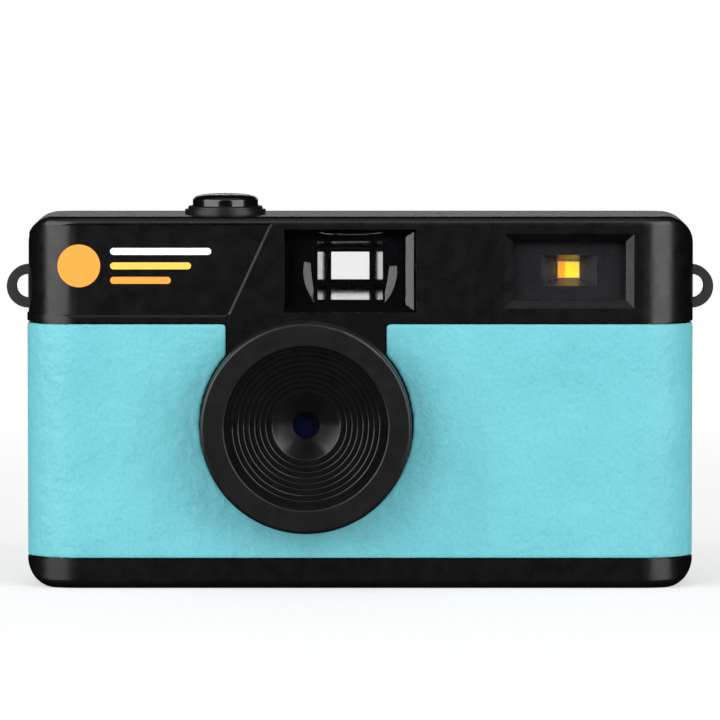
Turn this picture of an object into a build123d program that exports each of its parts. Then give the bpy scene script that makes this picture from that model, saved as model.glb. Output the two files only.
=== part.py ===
from build123d import *
import math
import os

os.makedirs("parts", exist_ok=True)

# Compact point-and-shoot camera in the half-frame style, in millimetres.
# +X is the right-hand side of someone facing the lens, -Y points out of the lens and +Z is up.
# The origin is under the middle of the whole camera, on the surface that it stands on.

# ---------------------------------------------------------------- driving dimensions

# Body
BODY_WIDTH = 115.8
BODY_HEIGHT = 64.5
BODY_DEPTH = 27.0
PROFILE_RADIUS = 5.0            # corners seen from the front
PLAN_RADIUS = 9.0               # upright corners seen from above
SIDE_CROWN = 0.06                # the flat sides stand this far inside the plan's outline
EDGE_RADIUS = 1.5               # round along the front and back rims
WALL = 2.0

# Clearances
SLIP = 0.15                     # one moulding located loosely in another
RUNNING = 0.05                  # radial play of a guided or threaded piece
SKIN_GAP = 0.2                  # groove left round the leatherette
EASED = 0.2                     # small bevel that takes the sharpness off an edge
TRAVEL_GAP = 0.3                # room kept between a moving piece and its stop

# Leatherette band
SKIN = 0.6
BAND_BOTTOM = 5.1
TOP_BAND = 18.3                 # height of the black housing above the leatherette
NECK_WIDTH = 27.3               # black neck between the top housing and the lens
NECK_CORNER_RADIUS = 0.8

# Badge panel, recessed at the upper left
PANEL_DEPTH = 0.4
BEVEL_ANGLE = 45                # lean of the panel's walls and of the dish's step, in degrees
PANEL_LEDGE = 1.3               # raised strip between the panel and the leatherette
PANEL_LEAN = 7.2                # how far the slanted edge leans
PANEL_TOE = -22.9               # where the slanted edge meets the panel's lower edge
PANEL_TOE_RADIUS = 1.2

# Lens
LENS_X = -9.3
BARREL_RADIUS = 18.25
BARREL_ROUND = 0.6
BARREL_LIP_ROUND = 0.3
LENS_PROTRUSION = 7.5
BARREL_LIP_RADIUS = 14.1
BARREL_LIP = 0.8
SPIGOT_WALL = 0.8
BAFFLE_RADIUS = 14.4
BAFFLE_WALL = 1.2
RIDGES = 8
RIDGE_PITCH = 0.95
RIDGE_OUTER_RADIUS = 13.5
RIDGE_ROUND = 0.22
APERTURE_RADIUS = 2.35
FUNNEL_DEPTH = 8.5
PANE_RADIUS = 4.5
PANE_THICKNESS = 0.8
CELL_RADIUS = 6.0
CELL_HEAD_RADIUS = 7.0
CELL_HEAD_LENGTH = 2.0
CELL_LENGTH = 9.0
ELEMENT_RADIUS = 4.4
ELEMENT_THICKNESS = 2.4
ELEMENT_BULGE = 0.7
STOP_THICKNESS = 0.5
STOP_RADIUS = 1.2
FILTER_THICKNESS = 0.4
HOLDER_SIZE = 16.0
HOLDER_ENGAGEMENT = 5.0
HOLDER_POCKET = 11.0
HOLDER_POCKET_DEPTH = 2.2
HOLDER_SCREW_SPACING = 20.0
SENSOR_SIZE = 8.0
SENSOR_THICKNESS = 0.9

# Viewfinder
VIEW_X = -1.7
VIEW_OPENING = (22.9, 14.4)
VIEW_BEVEL = (1.4, 0.9)
VIEW_RIM = 0.3
VIEW_TRAY_DEPTH = 1.0
VIEW_DISH_RADIUS = 8.1
VIEW_DISH_DEPTH = 1.1
VIEW_DISH_STEP = 0.25           # bevelled step round the dish
VIEW_PLATE = 2.8
VIEW_EAR = 1.5
VIEW_EAR_THICKNESS = 0.8
TUNNEL_WALL = 1.0
TUNNEL_FLANGE = 0.8             # thickness of the plate behind the window
TUNNEL_BORE = (11.4, 10.2)
EYE_OPENING = (9.4, 6.8)
EYE_FRAME = (17.0, 12.6)
EYE_FRAME_RADIUS = 2.0
EYE_LENS_THICKNESS = 1.4
EYEPIECE_PROTRUSION = 1.0
EYE_BEVEL = 0.33

# Flash
FLASH_INSET = 21.7              # window centre in from the right-hand side
FLASH_OPENING = (22.4, 12.9)
FLASH_BEVEL = 1.4
FLASH_BEVEL_DEPTH = 1.2
FLASH_FLANGE = 0.9
FLASH_FLANGE_THICKNESS = 0.8
REFLECTOR_DEPTH = 4.2
REFLECTOR_MOUTH = (9.6, 5.4)
LED_SIZE = (5.0, 3.6)
LED_THICKNESS = 0.8
PHOSPHOR_SIZE = (3.55, 2.6)
PHOSPHOR_THICKNESS = 0.15
FLASH_BOARD_OVERHANG = 3.6
FLASH_BOARD_HEIGHT = 11.0
FLASH_LEAD_OFFSET = 7.47        # where the lead meets the board, left of the window's middle

# Shutter release
SHUTTER_X = -23.5
CAP_RADIUS = 5.7
CAP_RISE = 3.5                  # top of the dome above the body
CAP_DOME = 1.2
CAP_ROOF_DROP = 0.23            # how far the spring's seat in the cap lies below the collar's rim
CAP_SKIRT = 1.0                 # how far the cap reaches below the top face
COLLAR_RADIUS = 7.05
COLLAR_STEP_RADIUS = 6.5
COLLAR_STEP = 0.8
COLLAR_RISE = 1.4
COLLAR_WALL = 0.7
COLLAR_FLOOR = 0.8
COLLAR_DROP = 1.4               # how far the collar reaches below the top wall
SHUTTER_TRAVEL = 0.6
STEM_RADIUS = 1.5
SPRING_RADIUS = 2.6
SPRING_WIRE = 0.4
SPRING_TURNS = 4
CLIP_RADIUS = 2.7
CLIP_THICKNESS = 0.5
CLIP_NECK_RADIUS = 1.1
CLIP_MOUTH = 1.76
STEM_BELOW_CLIP = 2.0
SWITCH_SIZE = 6.0
SWITCH_HEIGHT = 3.5
PLUNGER_RADIUS = 1.7
PLUNGER_RISE = 1.4
SHUTTER_BOARD = (12.0, 10.0)
SHUTTER_SHELF = (1.6, 1.6)      # width and thickness of the two arms under the switch board

# Counter display on the back
LCD_OFFSET = -8.0               # display centre from the shutter release
LCD_WINDOW = (16.0, 9.0)
LCD_MODULE = (20.0, 11.4)
LCD_THICKNESS = 2.0
LCD_PANE_FLANGE = 0.8

# Flash slide switch on the back
SLIDER_TRAVEL = 3.0
SLIDER_KNOB = (6.0, 4.6)
SLIDER_RIBS = 3
SLIDER_RIB_PITCH = 1.5
SLIDER_RECESS = (13.0, 6.4)
SLIDER_RECESS_DEPTH = 0.8
SLIDER_RISE = 0.5
SLIDER_NECK = (3.0, 2.4)
SLIDER_BARB = 0.6
SLIDER_BARB_THICKNESS = 0.6
SLIDE_BODY = (10.0, 4.4)
SLIDE_BODY_THICKNESS = 3.2
ACTUATOR_SIZE = (1.4, 1.4)
ACTUATOR_LENGTH = 2.2
ACTUATOR_ENGAGEMENT = 0.73      # how far the actuator reaches into the switch
CONTROL_BOARD = (26.0, 10.0)
CONTROL_BOARD_SHIFT = -3.2      # board's middle from the slide switch
INDICATOR_OFFSET = -9.5         # indicator from the slide switch
INDICATOR_RADIUS = 1.1
INDICATOR_LED = (1.6, 0.8, 0.7)

# Electronics
BOARD_THICKNESS = 1.0
BOARD_LEFT = -33.5
BOARD_ABOVE_LENS = 14.3
BOARD_FLOOR_GAP = 2.0
BOARD_BEHIND_SEAM = 1.6
POST_RADIUS = 2.6
POST_INSET = 3.2
USB_X = 3.0
USB_SIZE = (8.9, 3.2, 7.3)
USB_THROAT = (8.2, 2.4)
USB_THROAT_DEPTH = 5.5
USB_TONGUE = (6.6, 0.7)
USB_TONGUE_LENGTH = 4.6
USB_SETBACK = 0.8
CARD_X = -20.0
CARD_SOCKET = (14.4, 1.8, 14.0)
CARD_SIZE = (11.0, 0.8, 15.0)
CARD_PROUD = 1.6
DOOR_WIDTH = 6.2
DOOR_THICKNESS = 1.2
DOOR_RECESS = 1.3
DOOR_LAP = 1.2
DOOR_CORNER_RADIUS = 0.4
DOOR_OPENING = (14.0, 3.4)
BATTERY_SIZE = (30.0, 6.0, 33.0)
BATTERY_CORNER = 1.2
TAPE_THICKNESS = 0.3
BATTERY_SIDE_GAP = 11.5
BATTERY_FLOOR_GAP = 5.0
BATTERY_TO_BOARD = 3.5
BUZZER_RADIUS = 6.5
BUZZER_THICKNESS = 1.6
BUZZER_X = -42.5
LEAD_RADIUS = 0.45
LEAD_SPACING = 1.4
LEAD_BEND = 1.3
SHEATH_RADIUS = 0.75            # two-core sheathed leads of the flash and the controls
PLUG_SIZE = (5.0, 3.0, 4.0)
RIBBON_SIZE = (8.0, 0.2)
RIBBON_BEND = 1.2
RIBBON_CONNECTOR = (9.4, 1.8, 3.0)
RIBBON_CONNECTOR_INSET = 1.0

# Strap loops
LOOP_RADIUS = 3.75
LOOP_HOLE_RADIUS = 2.1
LOOP_THICKNESS = 3.6
LOOP_BELOW_TOP = 12.6
LOOP_FLANGE = 1.0

# Fasteners: head radius, head height, shank radius, length
SCREW_M2 = (1.9, 1.2, 1.0, 9.0)
SCREW_SMALL = (1.5, 0.9, 0.75, 4.5)
CROSS_WIDTH = 0.45
CROSS_SPAN = 1.3                # cross recess as a multiple of the head radius
BOSS_RADIUS = 2.75
BOSS_WALL = 0.9
CASE_SCREW_INSET = (8.0, 6.0)   # in from the sides, and from the edges of the leatherette
CASE_SHELF = 2.0                # plastic left under a case screw's head

# ---------------------------------------------------------------- derived places

TOTAL_DEPTH = LENS_PROTRUSION + BODY_DEPTH + EYEPIECE_PROTRUSION
FRONT = LENS_PROTRUSION - TOTAL_DEPTH / 2
BACK = FRONT + BODY_DEPTH
SEAM = FRONT + BODY_DEPTH / 2
FRONT_INNER = FRONT + WALL
BACK_INNER = BACK - WALL
TOP_INNER = BODY_HEIGHT - WALL
SIDE = BODY_WIDTH / 2
BAND_TOP = BODY_HEIGHT - TOP_BAND
HOUSING_Z = BAND_TOP + TOP_BAND / 2 - 0.25      # line of the windows in the top housing
LENS_Z = BAND_TOP - BARREL_RADIUS + 0.4         # the barrel just breaks into the top housing
BARREL_FRONT = FRONT - LENS_PROTRUSION
SPIGOT_RADIUS = BAFFLE_RADIUS + RUNNING + SPIGOT_WALL
BARREL_SCREW_RADIUS = (SPIGOT_RADIUS + BARREL_RADIUS) / 2
FLASH_X = SIDE - FLASH_INSET
SLIDER_X = FLASH_X
LCD_X = SHUTTER_X + LCD_OFFSET
BOARD_FRONT = SEAM + BOARD_BEHIND_SEAM
BOARD_BACK = BOARD_FRONT + BOARD_THICKNESS
BOARD_BOTTOM = WALL + BOARD_FLOOR_GAP
BOARD_TOP = LENS_Z + BOARD_ABOVE_LENS
BATTERY_RIGHT = SIDE - BATTERY_SIDE_GAP
BATTERY_LEFT = BATTERY_RIGHT - BATTERY_SIZE[0]
BATTERY_BOTTOM = WALL + BATTERY_FLOOR_GAP
BATTERY_TOP = BATTERY_BOTTOM + BATTERY_SIZE[2]
BOARD_RIGHT = BATTERY_LEFT - BATTERY_TO_BOARD

board_posts = [
    (BOARD_LEFT + POST_INSET, BOARD_BOTTOM + POST_INSET),
    (BOARD_LEFT + POST_INSET, BOARD_TOP - POST_INSET),
    (BOARD_RIGHT - POST_INSET, BOARD_BOTTOM + POST_INSET),
    (BOARD_RIGHT - POST_INSET, BOARD_TOP - POST_INSET),
]
case_posts = [
    (side * (SIDE - CASE_SCREW_INSET[0]), z)
    for side in (-1, 1)
    for z in (BAND_BOTTOM + CASE_SCREW_INSET[1], BAND_TOP - CASE_SCREW_INSET[1])
]


# ---------------------------------------------------------------- shared geometry

def facing_front(y):
    """Plane at depth y that faces the front: its x is +X and its y is +Z."""
    return Plane.XZ.offset(-y)


def about_axis(x, z):
    """Section plane through an axis along Y: its x is depth and its y is radius."""
    return Plane(origin=(x, 0, z), x_dir=(0, 1, 0), z_dir=(1, 0, 0))


def body_form(inset, rim_radius=0.0):
    """The closed outer form of the body, moved inwards by inset on every side."""
    half_width = BODY_WIDTH / 2 - inset
    half_depth = BODY_DEPTH / 2 - inset
    with BuildPart() as form:
        with BuildSketch(facing_front(SEAM + half_depth)):
            with Locations((0, BODY_HEIGHT / 2)):
                RectangleRounded(2 * half_width, BODY_HEIGHT - 2 * inset, PROFILE_RADIUS - inset)
        extrude(amount=2 * half_depth)
        with BuildSketch(Plane.XY):
            with Locations((0, SEAM)):
                RectangleRounded(2 * (half_width + SIDE_CROWN), 2 * half_depth, PLAN_RADIUS - inset)
        extrude(amount=BODY_HEIGHT, mode=Mode.INTERSECT)
        if rim_radius:
            # The upright lines where the flat sides begin are rounded together with the rims
            turned = form.edges().filter_by(Axis.Y, reverse=True)
            rims = turned.filter_by(Axis.Z, reverse=True)
            side_lines = turned.filter_by(Axis.Z).filter_by(
                lambda edge: abs(edge.center().X) > half_width - SIDE_CROWN / 2
            )
            fillet(rims + side_lines, rim_radius)
    return form.part


def band_zone(gap):
    """Front-view outline of the leatherette band, pulled back by gap from the black mouldings."""
    with BuildSketch() as zone:
        with Locations((0, (BAND_BOTTOM + BAND_TOP) / 2)):
            Rectangle(2 * BODY_WIDTH, BAND_TOP - BAND_BOTTOM - 2 * gap)
        with Locations((LENS_X, LENS_Z + BARREL_RADIUS)):
            Rectangle(NECK_WIDTH + 2 * gap, 2 * BARREL_RADIUS, mode=Mode.SUBTRACT)
        top_corners = zone.vertices().group_by(Axis.Y)[-1].sort_by(Axis.X)[1:3]
        fillet(top_corners, NECK_CORNER_RADIUS)
        with Locations((LENS_X, LENS_Z)):
            Circle(BARREL_RADIUS + gap, mode=Mode.SUBTRACT)
    return zone.sketch


def holes(plane, places, radius, depth):
    """Round holes going into the part from a plane, against its normal."""
    with BuildSketch(plane) as outline:
        with Locations(places):
            Circle(radius)
    extrude(outline.sketch, amount=-depth, mode=Mode.SUBTRACT)


def posts(plane, places, radius, height):
    """Round posts standing on a plane, along its normal."""
    with BuildSketch(plane) as outline:
        with Locations(places):
            Circle(radius)
    extrude(outline.sketch, amount=height)


def screws(seat, places, size, side=1):
    """Cross-head screws with their heads on the seat plane, on its normal's side or the other."""
    head_radius, head_height, shank_radius, length = size
    posts(seat, places, head_radius, side * head_height)
    posts(seat, places, shank_radius, -side * length)
    with BuildSketch(seat.offset(side * head_height)) as cross:
        with Locations(places):
            Rectangle(head_radius * CROSS_SPAN, CROSS_WIDTH)
            Rectangle(CROSS_WIDTH, head_radius * CROSS_SPAN)
    extrude(cross.sketch, amount=-side * head_height / 2, mode=Mode.SUBTRACT)


def block(plane, centre, size, thickness, mode=Mode.ADD):
    """Rectangular block on a plane, along its normal, or against it if thickness is negative."""
    with BuildSketch(plane) as outline:
        with Locations(centre):
            Rectangle(size[0], size[1])
    extrude(outline.sketch, amount=thickness, mode=mode)


def lens_element(x, z, front, thickness, radius, bulge):
    """Disc with both faces bulging by the given amount, within its overall thickness."""
    with BuildSketch(about_axis(x, z)) as section:
        with BuildLine():
            top_front = (front + bulge, radius)
            top_back = (front + thickness - bulge, radius)
            Polyline((front, 0), (front + thickness, 0))
            Spline((front + thickness, 0), top_back, tangents=[(0, 1), (-bulge, radius / 2)])
            Line(top_back, top_front)
            Spline(top_front, (front, 0), tangents=[(-bulge, -radius / 2), (0, -1)])
        make_face()
    revolve(section.sketch, axis=Axis((x, 0, z), (0, 1, 0)))


def lead(route, radius):
    """Round insulated lead along a route of straight runs joined by arcs."""
    with BuildLine() as path:
        FilletPolyline(*route, radius=LEAD_BEND)
    with BuildSketch(path.line ^ 0) as section:
        Circle(radius)
    sweep(section.sketch, path=path.line)


def lead_pair(route, beside):
    """Two wires side by side along one route, beside being the direction from one to the other."""
    for side in (-1, 1):
        shift = Vector(*beside) * side * LEAD_SPACING / 2
        lead([Vector(*point) + shift for point in route], LEAD_RADIUS)


lens_axis = Axis((LENS_X, 0, LENS_Z), (0, 1, 0))
shutter_axis = Axis((SHUTTER_X, SEAM, 0), (0, 0, 1))
seam_plane = facing_front(SEAM)

outer_form = body_form(0, EDGE_RADIUS)
skin_form = body_form(SKIN)
cavity_form = body_form(WALL)

with BuildPart() as band_recess:
    add(outer_form)
    add(skin_form, mode=Mode.SUBTRACT)
    with BuildSketch(facing_front(SEAM)):
        add(band_zone(0))
    extrude(amount=BODY_DEPTH, mode=Mode.INTERSECT)

with BuildPart() as rear_band_recess:
    add(outer_form)
    add(skin_form, mode=Mode.SUBTRACT)
    with BuildSketch(facing_front(SEAM)):
        with Locations((0, (BAND_BOTTOM + BAND_TOP) / 2)):
            Rectangle(2 * BODY_WIDTH, BAND_TOP - BAND_BOTTOM)
    extrude(amount=-BODY_DEPTH, mode=Mode.INTERSECT)

panel_bottom = BAND_TOP + PANEL_LEDGE
panel_top = BODY_HEIGHT - EDGE_RADIUS
with BuildSketch() as panel_zone:
    with BuildLine():
        Polyline(
            (-BODY_WIDTH, panel_bottom),
            (PANEL_TOE, panel_bottom),
            (PANEL_TOE + PANEL_LEAN, panel_top),
            (-BODY_WIDTH, panel_top),
            close=True,
        )
    make_face()
    fillet(panel_zone.vertices().group_by(Axis.Y)[0].sort_by(Axis.X)[-1:], PANEL_TOE_RADIUS)

# The recess follows the body's plan and runs out where the rims turn away
with BuildPart() as panel_floor:
    with BuildSketch(Plane.XY):
        with Locations((0, SEAM)):
            RectangleRounded(
                BODY_WIDTH + 2 * (SIDE_CROWN - PANEL_DEPTH),
                BODY_DEPTH - 2 * PANEL_DEPTH,
                PLAN_RADIUS - PANEL_DEPTH,
            )
    extrude(amount=BODY_HEIGHT)

with BuildPart() as panel_recess:
    add(outer_form)
    add(panel_floor.part, mode=Mode.SUBTRACT)
    with BuildSketch(facing_front(SEAM)):
        add(panel_zone.sketch)
    extrude(amount=BODY_DEPTH, mode=Mode.INTERSECT)
    # The walls lean outwards on the flat of the front
    with BuildSketch(facing_front(FRONT + PANEL_DEPTH)):
        add(panel_zone.sketch)
    extrude(amount=PANEL_DEPTH, taper=-BEVEL_ANGLE)


# ---------------------------------------------------------------- strap loops

def strap_loop(side):
    """Half ring standing out of the side wall, with a flange held behind the wall at the seam."""
    loop_z = BODY_HEIGHT - LOOP_BELOW_TOP
    plane = facing_front(SEAM + LOOP_THICKNESS / 2)
    with BuildSketch(plane) as outline:
        with Locations((side * SIDE, loop_z)):
            Circle(LOOP_RADIUS)
        with Locations((side * (SIDE - WALL / 2), loop_z)):
            Rectangle(WALL, 2 * LOOP_RADIUS)
        with Locations((side * (SIDE - WALL - BODY_WIDTH / 2), loop_z)):
            Rectangle(BODY_WIDTH, BODY_HEIGHT, mode=Mode.SUBTRACT)
        with Locations((side * SIDE, loop_z)):
            Circle(LOOP_HOLE_RADIUS, mode=Mode.SUBTRACT)
        with Locations((side * (SIDE - WALL / 2), loop_z)):
            Rectangle(WALL, 2 * LOOP_RADIUS)
    extrude(outline.sketch, amount=LOOP_THICKNESS)
    flange_x = side * (SIDE - WALL - LOOP_FLANGE / 2)
    block(plane, (flange_x, loop_z), (LOOP_FLANGE, 2 * (LOOP_RADIUS + LOOP_FLANGE)), LOOP_THICKNESS)


def strap_slots():
    """Notches through both side walls for the strap loops."""
    loop_z = BODY_HEIGHT - LOOP_BELOW_TOP
    plane = facing_front(SEAM + LOOP_THICKNESS / 2)
    for side in (-1, 1):
        block(plane, (side * SIDE, loop_z), (3 * WALL, 2 * LOOP_RADIUS), LOOP_THICKNESS, Mode.SUBTRACT)


with BuildPart() as strap_loop_left:
    strap_loop(-1)
strap_loop_left.part.label = "strap_loop_left"
export_step(strap_loop_left.part, "parts/strap_loop_left.step")

with BuildPart() as strap_loop_right:
    strap_loop(1)
strap_loop_right.part.label = "strap_loop_right"
export_step(strap_loop_right.part, "parts/strap_loop_right.step")

# ---------------------------------------------------------------- front cover

collar_neck_radius = CAP_RADIUS + SLIP + COLLAR_WALL
collar_bottom = TOP_INNER - COLLAR_DROP
clip_top = collar_bottom - SLIP
stem_bottom = clip_top - CLIP_THICKNESS - STEM_BELOW_CLIP
switch_top = stem_bottom - PLUNGER_RISE
switch_bottom = switch_top - SWITCH_HEIGHT
shelf_top = switch_bottom - BOARD_THICKNESS
shelf_back = SEAM + SHUTTER_BOARD[1] / 2
shelf_arms = [
    (SHUTTER_X + side * (SHUTTER_BOARD[0] - SHUTTER_SHELF[0]) / 2, (FRONT_INNER + shelf_back) / 2)
    for side in (-1, 1)
]
flash_window = (FLASH_OPENING[0] - 2 * FLASH_BEVEL, FLASH_OPENING[1] - 2 * FLASH_BEVEL)
reflector_front = FRONT_INNER + FLASH_FLANGE_THICKNESS
flash_board_front = reflector_front + REFLECTOR_DEPTH
flash_board_width = FLASH_OPENING[0] + 2 * FLASH_BOARD_OVERHANG
flash_posts = [
    (FLASH_X + side * (flash_board_width / 2 - SCREW_SMALL[0] - SLIP), HOUSING_Z) for side in (-1, 1)
]
barrel_screw_places = [
    (
        LENS_X + BARREL_SCREW_RADIUS * math.cos(math.radians(angle)),
        LENS_Z + BARREL_SCREW_RADIUS * math.sin(math.radians(angle)),
    )
    for angle in (30, 150, 270)
]

with BuildPart() as front_cover:
    add(outer_form)
    add(cavity_form, mode=Mode.SUBTRACT)
    split(bisect_by=seam_plane, keep=Keep.TOP)
    # Posts for the case screws, the main board and the flash board
    posts(facing_front(SEAM), case_posts, BOSS_RADIUS, SEAM - FRONT_INNER)
    posts(facing_front(BOARD_FRONT), board_posts, POST_RADIUS, BOARD_FRONT - FRONT_INNER)
    posts(facing_front(flash_board_front), flash_posts, SCREW_SMALL[0], flash_board_front - FRONT_INNER)
    # Two arms under the shutter switch board
    for arm in shelf_arms:
        block(
            Plane.XY.offset(shelf_top),
            arm,
            (SHUTTER_SHELF[0], shelf_back - FRONT_INNER),
            -SHUTTER_SHELF[1],
        )
    # Screw holes in the posts
    holes(facing_front(SEAM), case_posts, SCREW_M2[2], -(SCREW_M2[3] - CASE_SHELF))
    holes(facing_front(BOARD_FRONT), board_posts, SCREW_SMALL[2], -(SCREW_SMALL[3] - BOARD_THICKNESS))
    holes(
        facing_front(flash_board_front),
        flash_posts,
        SCREW_SMALL[2],
        -(SCREW_SMALL[3] - BOARD_THICKNESS),
    )
    # Leatherette and badge panel recesses
    add(band_recess.part, mode=Mode.SUBTRACT)
    add(panel_recess.part, mode=Mode.SUBTRACT)
    # Lens mount: a hole for the barrel's spigot and three screw holes round it
    holes(facing_front(FRONT), [(LENS_X, LENS_Z)], SPIGOT_RADIUS + SLIP, WALL)
    holes(facing_front(FRONT), barrel_screw_places, SCREW_SMALL[2] + SLIP, WALL)
    # Viewfinder opening
    block(facing_front(FRONT), (VIEW_X, HOUSING_Z), VIEW_OPENING, -WALL, Mode.SUBTRACT)
    # Flash opening, bevelled from the front
    with BuildSketch(facing_front(FRONT)):
        with Locations((FLASH_X, HOUSING_Z)):
            Rectangle(*FLASH_OPENING)
    with BuildSketch(facing_front(FRONT + FLASH_BEVEL_DEPTH)):
        with Locations((FLASH_X, HOUSING_Z)):
            Rectangle(*flash_window)
    loft(mode=Mode.SUBTRACT)
    block(facing_front(FRONT), (FLASH_X, HOUSING_Z), flash_window, -WALL, Mode.SUBTRACT)
    # Shutter collar hole and strap slots, each shared with the rear cover
    holes(Plane.XY.offset(BODY_HEIGHT), [(SHUTTER_X, SEAM)], collar_neck_radius + SLIP, WALL)
    strap_slots()
front_cover.part.label = "front_cover"
export_step(front_cover.part, "parts/front_cover.step")

# ---------------------------------------------------------------- rear cover

rear_boss_radius = SCREW_M2[0] + SLIP + BOSS_WALL
case_seat = SEAM + CASE_SHELF
eye_body = (EYE_FRAME[0] - 2 * BOSS_WALL, EYE_FRAME[1] - 2 * BOSS_WALL)
slot_size = (SLIDER_NECK[0] + SLIDER_TRAVEL + 2 * TRAVEL_GAP, SLIDER_NECK[1] + 2 * SLIP)
knob_inner_end = BACK_INNER - SLIP - SLIDER_BARB_THICKNESS
slide_body_back = knob_inner_end - TRAVEL_GAP
control_board_back = slide_body_back - SLIDE_BODY_THICKNESS
control_board_x = SLIDER_X + CONTROL_BOARD_SHIFT
control_posts = [
    (
        control_board_x + side * (CONTROL_BOARD[0] / 2 - SCREW_SMALL[0] - SLIP),
        HOUSING_Z - side * (CONTROL_BOARD[1] / 2 - SCREW_SMALL[0] - SLIP),
    )
    for side in (-1, 1)
]
indicator_x = SLIDER_X + INDICATOR_OFFSET
card_y = BOARD_BACK + CARD_SOCKET[1] / 2
door_right = CARD_X + DOOR_OPENING[0] / 2 + DOOR_LAP
door_screw_x = BOARD_LEFT - BOSS_RADIUS - TRAVEL_GAP
door_left = door_screw_x - BOSS_RADIUS
door_x = (door_left + door_right) / 2
door_length = door_right - door_left
usb_y = BOARD_BACK + USB_SIZE[1] / 2

with BuildPart() as rear_cover:
    add(outer_form)
    add(cavity_form, mode=Mode.SUBTRACT)
    split(bisect_by=seam_plane, keep=Keep.BOTTOM)
    # Case screw posts, bored from the back, posts for the control board and one for the door screw
    posts(facing_front(BACK_INNER), case_posts, rear_boss_radius, BACK_INNER - SEAM)
    posts(facing_front(BACK_INNER), control_posts, SCREW_SMALL[0], BACK_INNER - control_board_back)
    posts(Plane.XY.offset(WALL), [(door_screw_x, card_y)], BOSS_RADIUS, SCREW_SMALL[3])
    holes(facing_front(BACK), case_posts, SCREW_M2[0] + SLIP, -(BACK - case_seat))
    holes(facing_front(SEAM), case_posts, SCREW_M2[2] + SLIP, CASE_SHELF)
    holes(facing_front(control_board_back), control_posts, SCREW_SMALL[2], SCREW_SMALL[3] - BOARD_THICKNESS)
    add(rear_band_recess.part, mode=Mode.SUBTRACT)
    # Eyepiece and counter display openings
    block(
        facing_front(BACK),
        (VIEW_X, HOUSING_Z),
        (eye_body[0] + 2 * SLIP, eye_body[1] + 2 * SLIP),
        WALL,
        Mode.SUBTRACT,
    )
    block(facing_front(BACK), (LCD_X, HOUSING_Z), LCD_WINDOW, WALL, Mode.SUBTRACT)
    # Flash switch recess and slot, and the indicator's hole
    block(facing_front(BACK), (SLIDER_X, HOUSING_Z), SLIDER_RECESS, SLIDER_RECESS_DEPTH, Mode.SUBTRACT)
    block(facing_front(BACK), (SLIDER_X, HOUSING_Z), slot_size, WALL, Mode.SUBTRACT)
    holes(facing_front(BACK), [(indicator_x, HOUSING_Z)], INDICATOR_RADIUS + RUNNING, -WALL)
    # Card door recess and opening, and the charging socket's slot, through the bottom wall
    block(
        Plane.XY,
        (door_x, card_y),
        (door_length + 2 * SLIP, DOOR_WIDTH + 2 * SLIP),
        DOOR_RECESS,
        Mode.SUBTRACT,
    )
    block(Plane.XY, (CARD_X, card_y), DOOR_OPENING, WALL, Mode.SUBTRACT)
    holes(Plane.XY, [(door_screw_x, card_y)], SCREW_SMALL[2], -(SCREW_SMALL[3] + WALL / 2))
    with BuildSketch(Plane.XY):
        with Locations((USB_X, usb_y)):
            SlotOverall(USB_SIZE[0] + 2 * SLIP, USB_SIZE[1] + 2 * SLIP)
    extrude(amount=WALL, mode=Mode.SUBTRACT)
    holes(Plane.XY.offset(BODY_HEIGHT), [(SHUTTER_X, SEAM)], collar_neck_radius + SLIP, WALL)
    strap_slots()
rear_cover.part.label = "rear_cover"
export_step(rear_cover.part, "parts/rear_cover.step")

# ---------------------------------------------------------------- leatherette

with BuildPart() as front_leatherette:
    add(outer_form)
    add(skin_form, mode=Mode.SUBTRACT)
    with BuildSketch(facing_front(SEAM)):
        add(band_zone(SKIN_GAP))
    extrude(amount=BODY_DEPTH, mode=Mode.INTERSECT)
front_leatherette.part.label = "front_leatherette"
export_step(front_leatherette.part, "parts/front_leatherette.step")

with BuildPart() as rear_leatherette:
    add(outer_form)
    add(skin_form, mode=Mode.SUBTRACT)
    with BuildSketch(facing_front(SEAM)):
        with Locations((0, (BAND_BOTTOM + BAND_TOP) / 2)):
            Rectangle(2 * BODY_WIDTH, BAND_TOP - BAND_BOTTOM - 2 * SKIN_GAP)
    extrude(amount=-BODY_DEPTH, mode=Mode.INTERSECT)
rear_leatherette.part.label = "rear_leatherette"
export_step(rear_leatherette.part, "parts/rear_leatherette.step")

with BuildPart() as case_screws:
    screws(facing_front(case_seat), case_posts, SCREW_M2, side=-1)
case_screws.part.label = "case_screws"
export_step(case_screws.part, "parts/case_screws.step")

# ---------------------------------------------------------------- lens

ridge_drop = (FUNNEL_DEPTH - BARREL_LIP) / (BARREL_LIP_RADIUS - APERTURE_RADIUS) * RIDGE_PITCH
funnel_end = BARREL_FRONT + FUNNEL_DEPTH
cone_radius = RIDGE_OUTER_RADIUS - RIDGES * RIDGE_PITCH
cone_start = BARREL_FRONT + BARREL_LIP + RIDGES * ridge_drop
baffle_back = FRONT_INNER
pane_front = funnel_end + PANE_THICKNESS
pane_back = pane_front + PANE_THICKNESS
cell_front = pane_back + TRAVEL_GAP
cell_back = cell_front + CELL_LENGTH
holder_front = cell_back - HOLDER_ENGAGEMENT
sensor_front = BOARD_FRONT - SENSOR_THICKNESS

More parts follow.
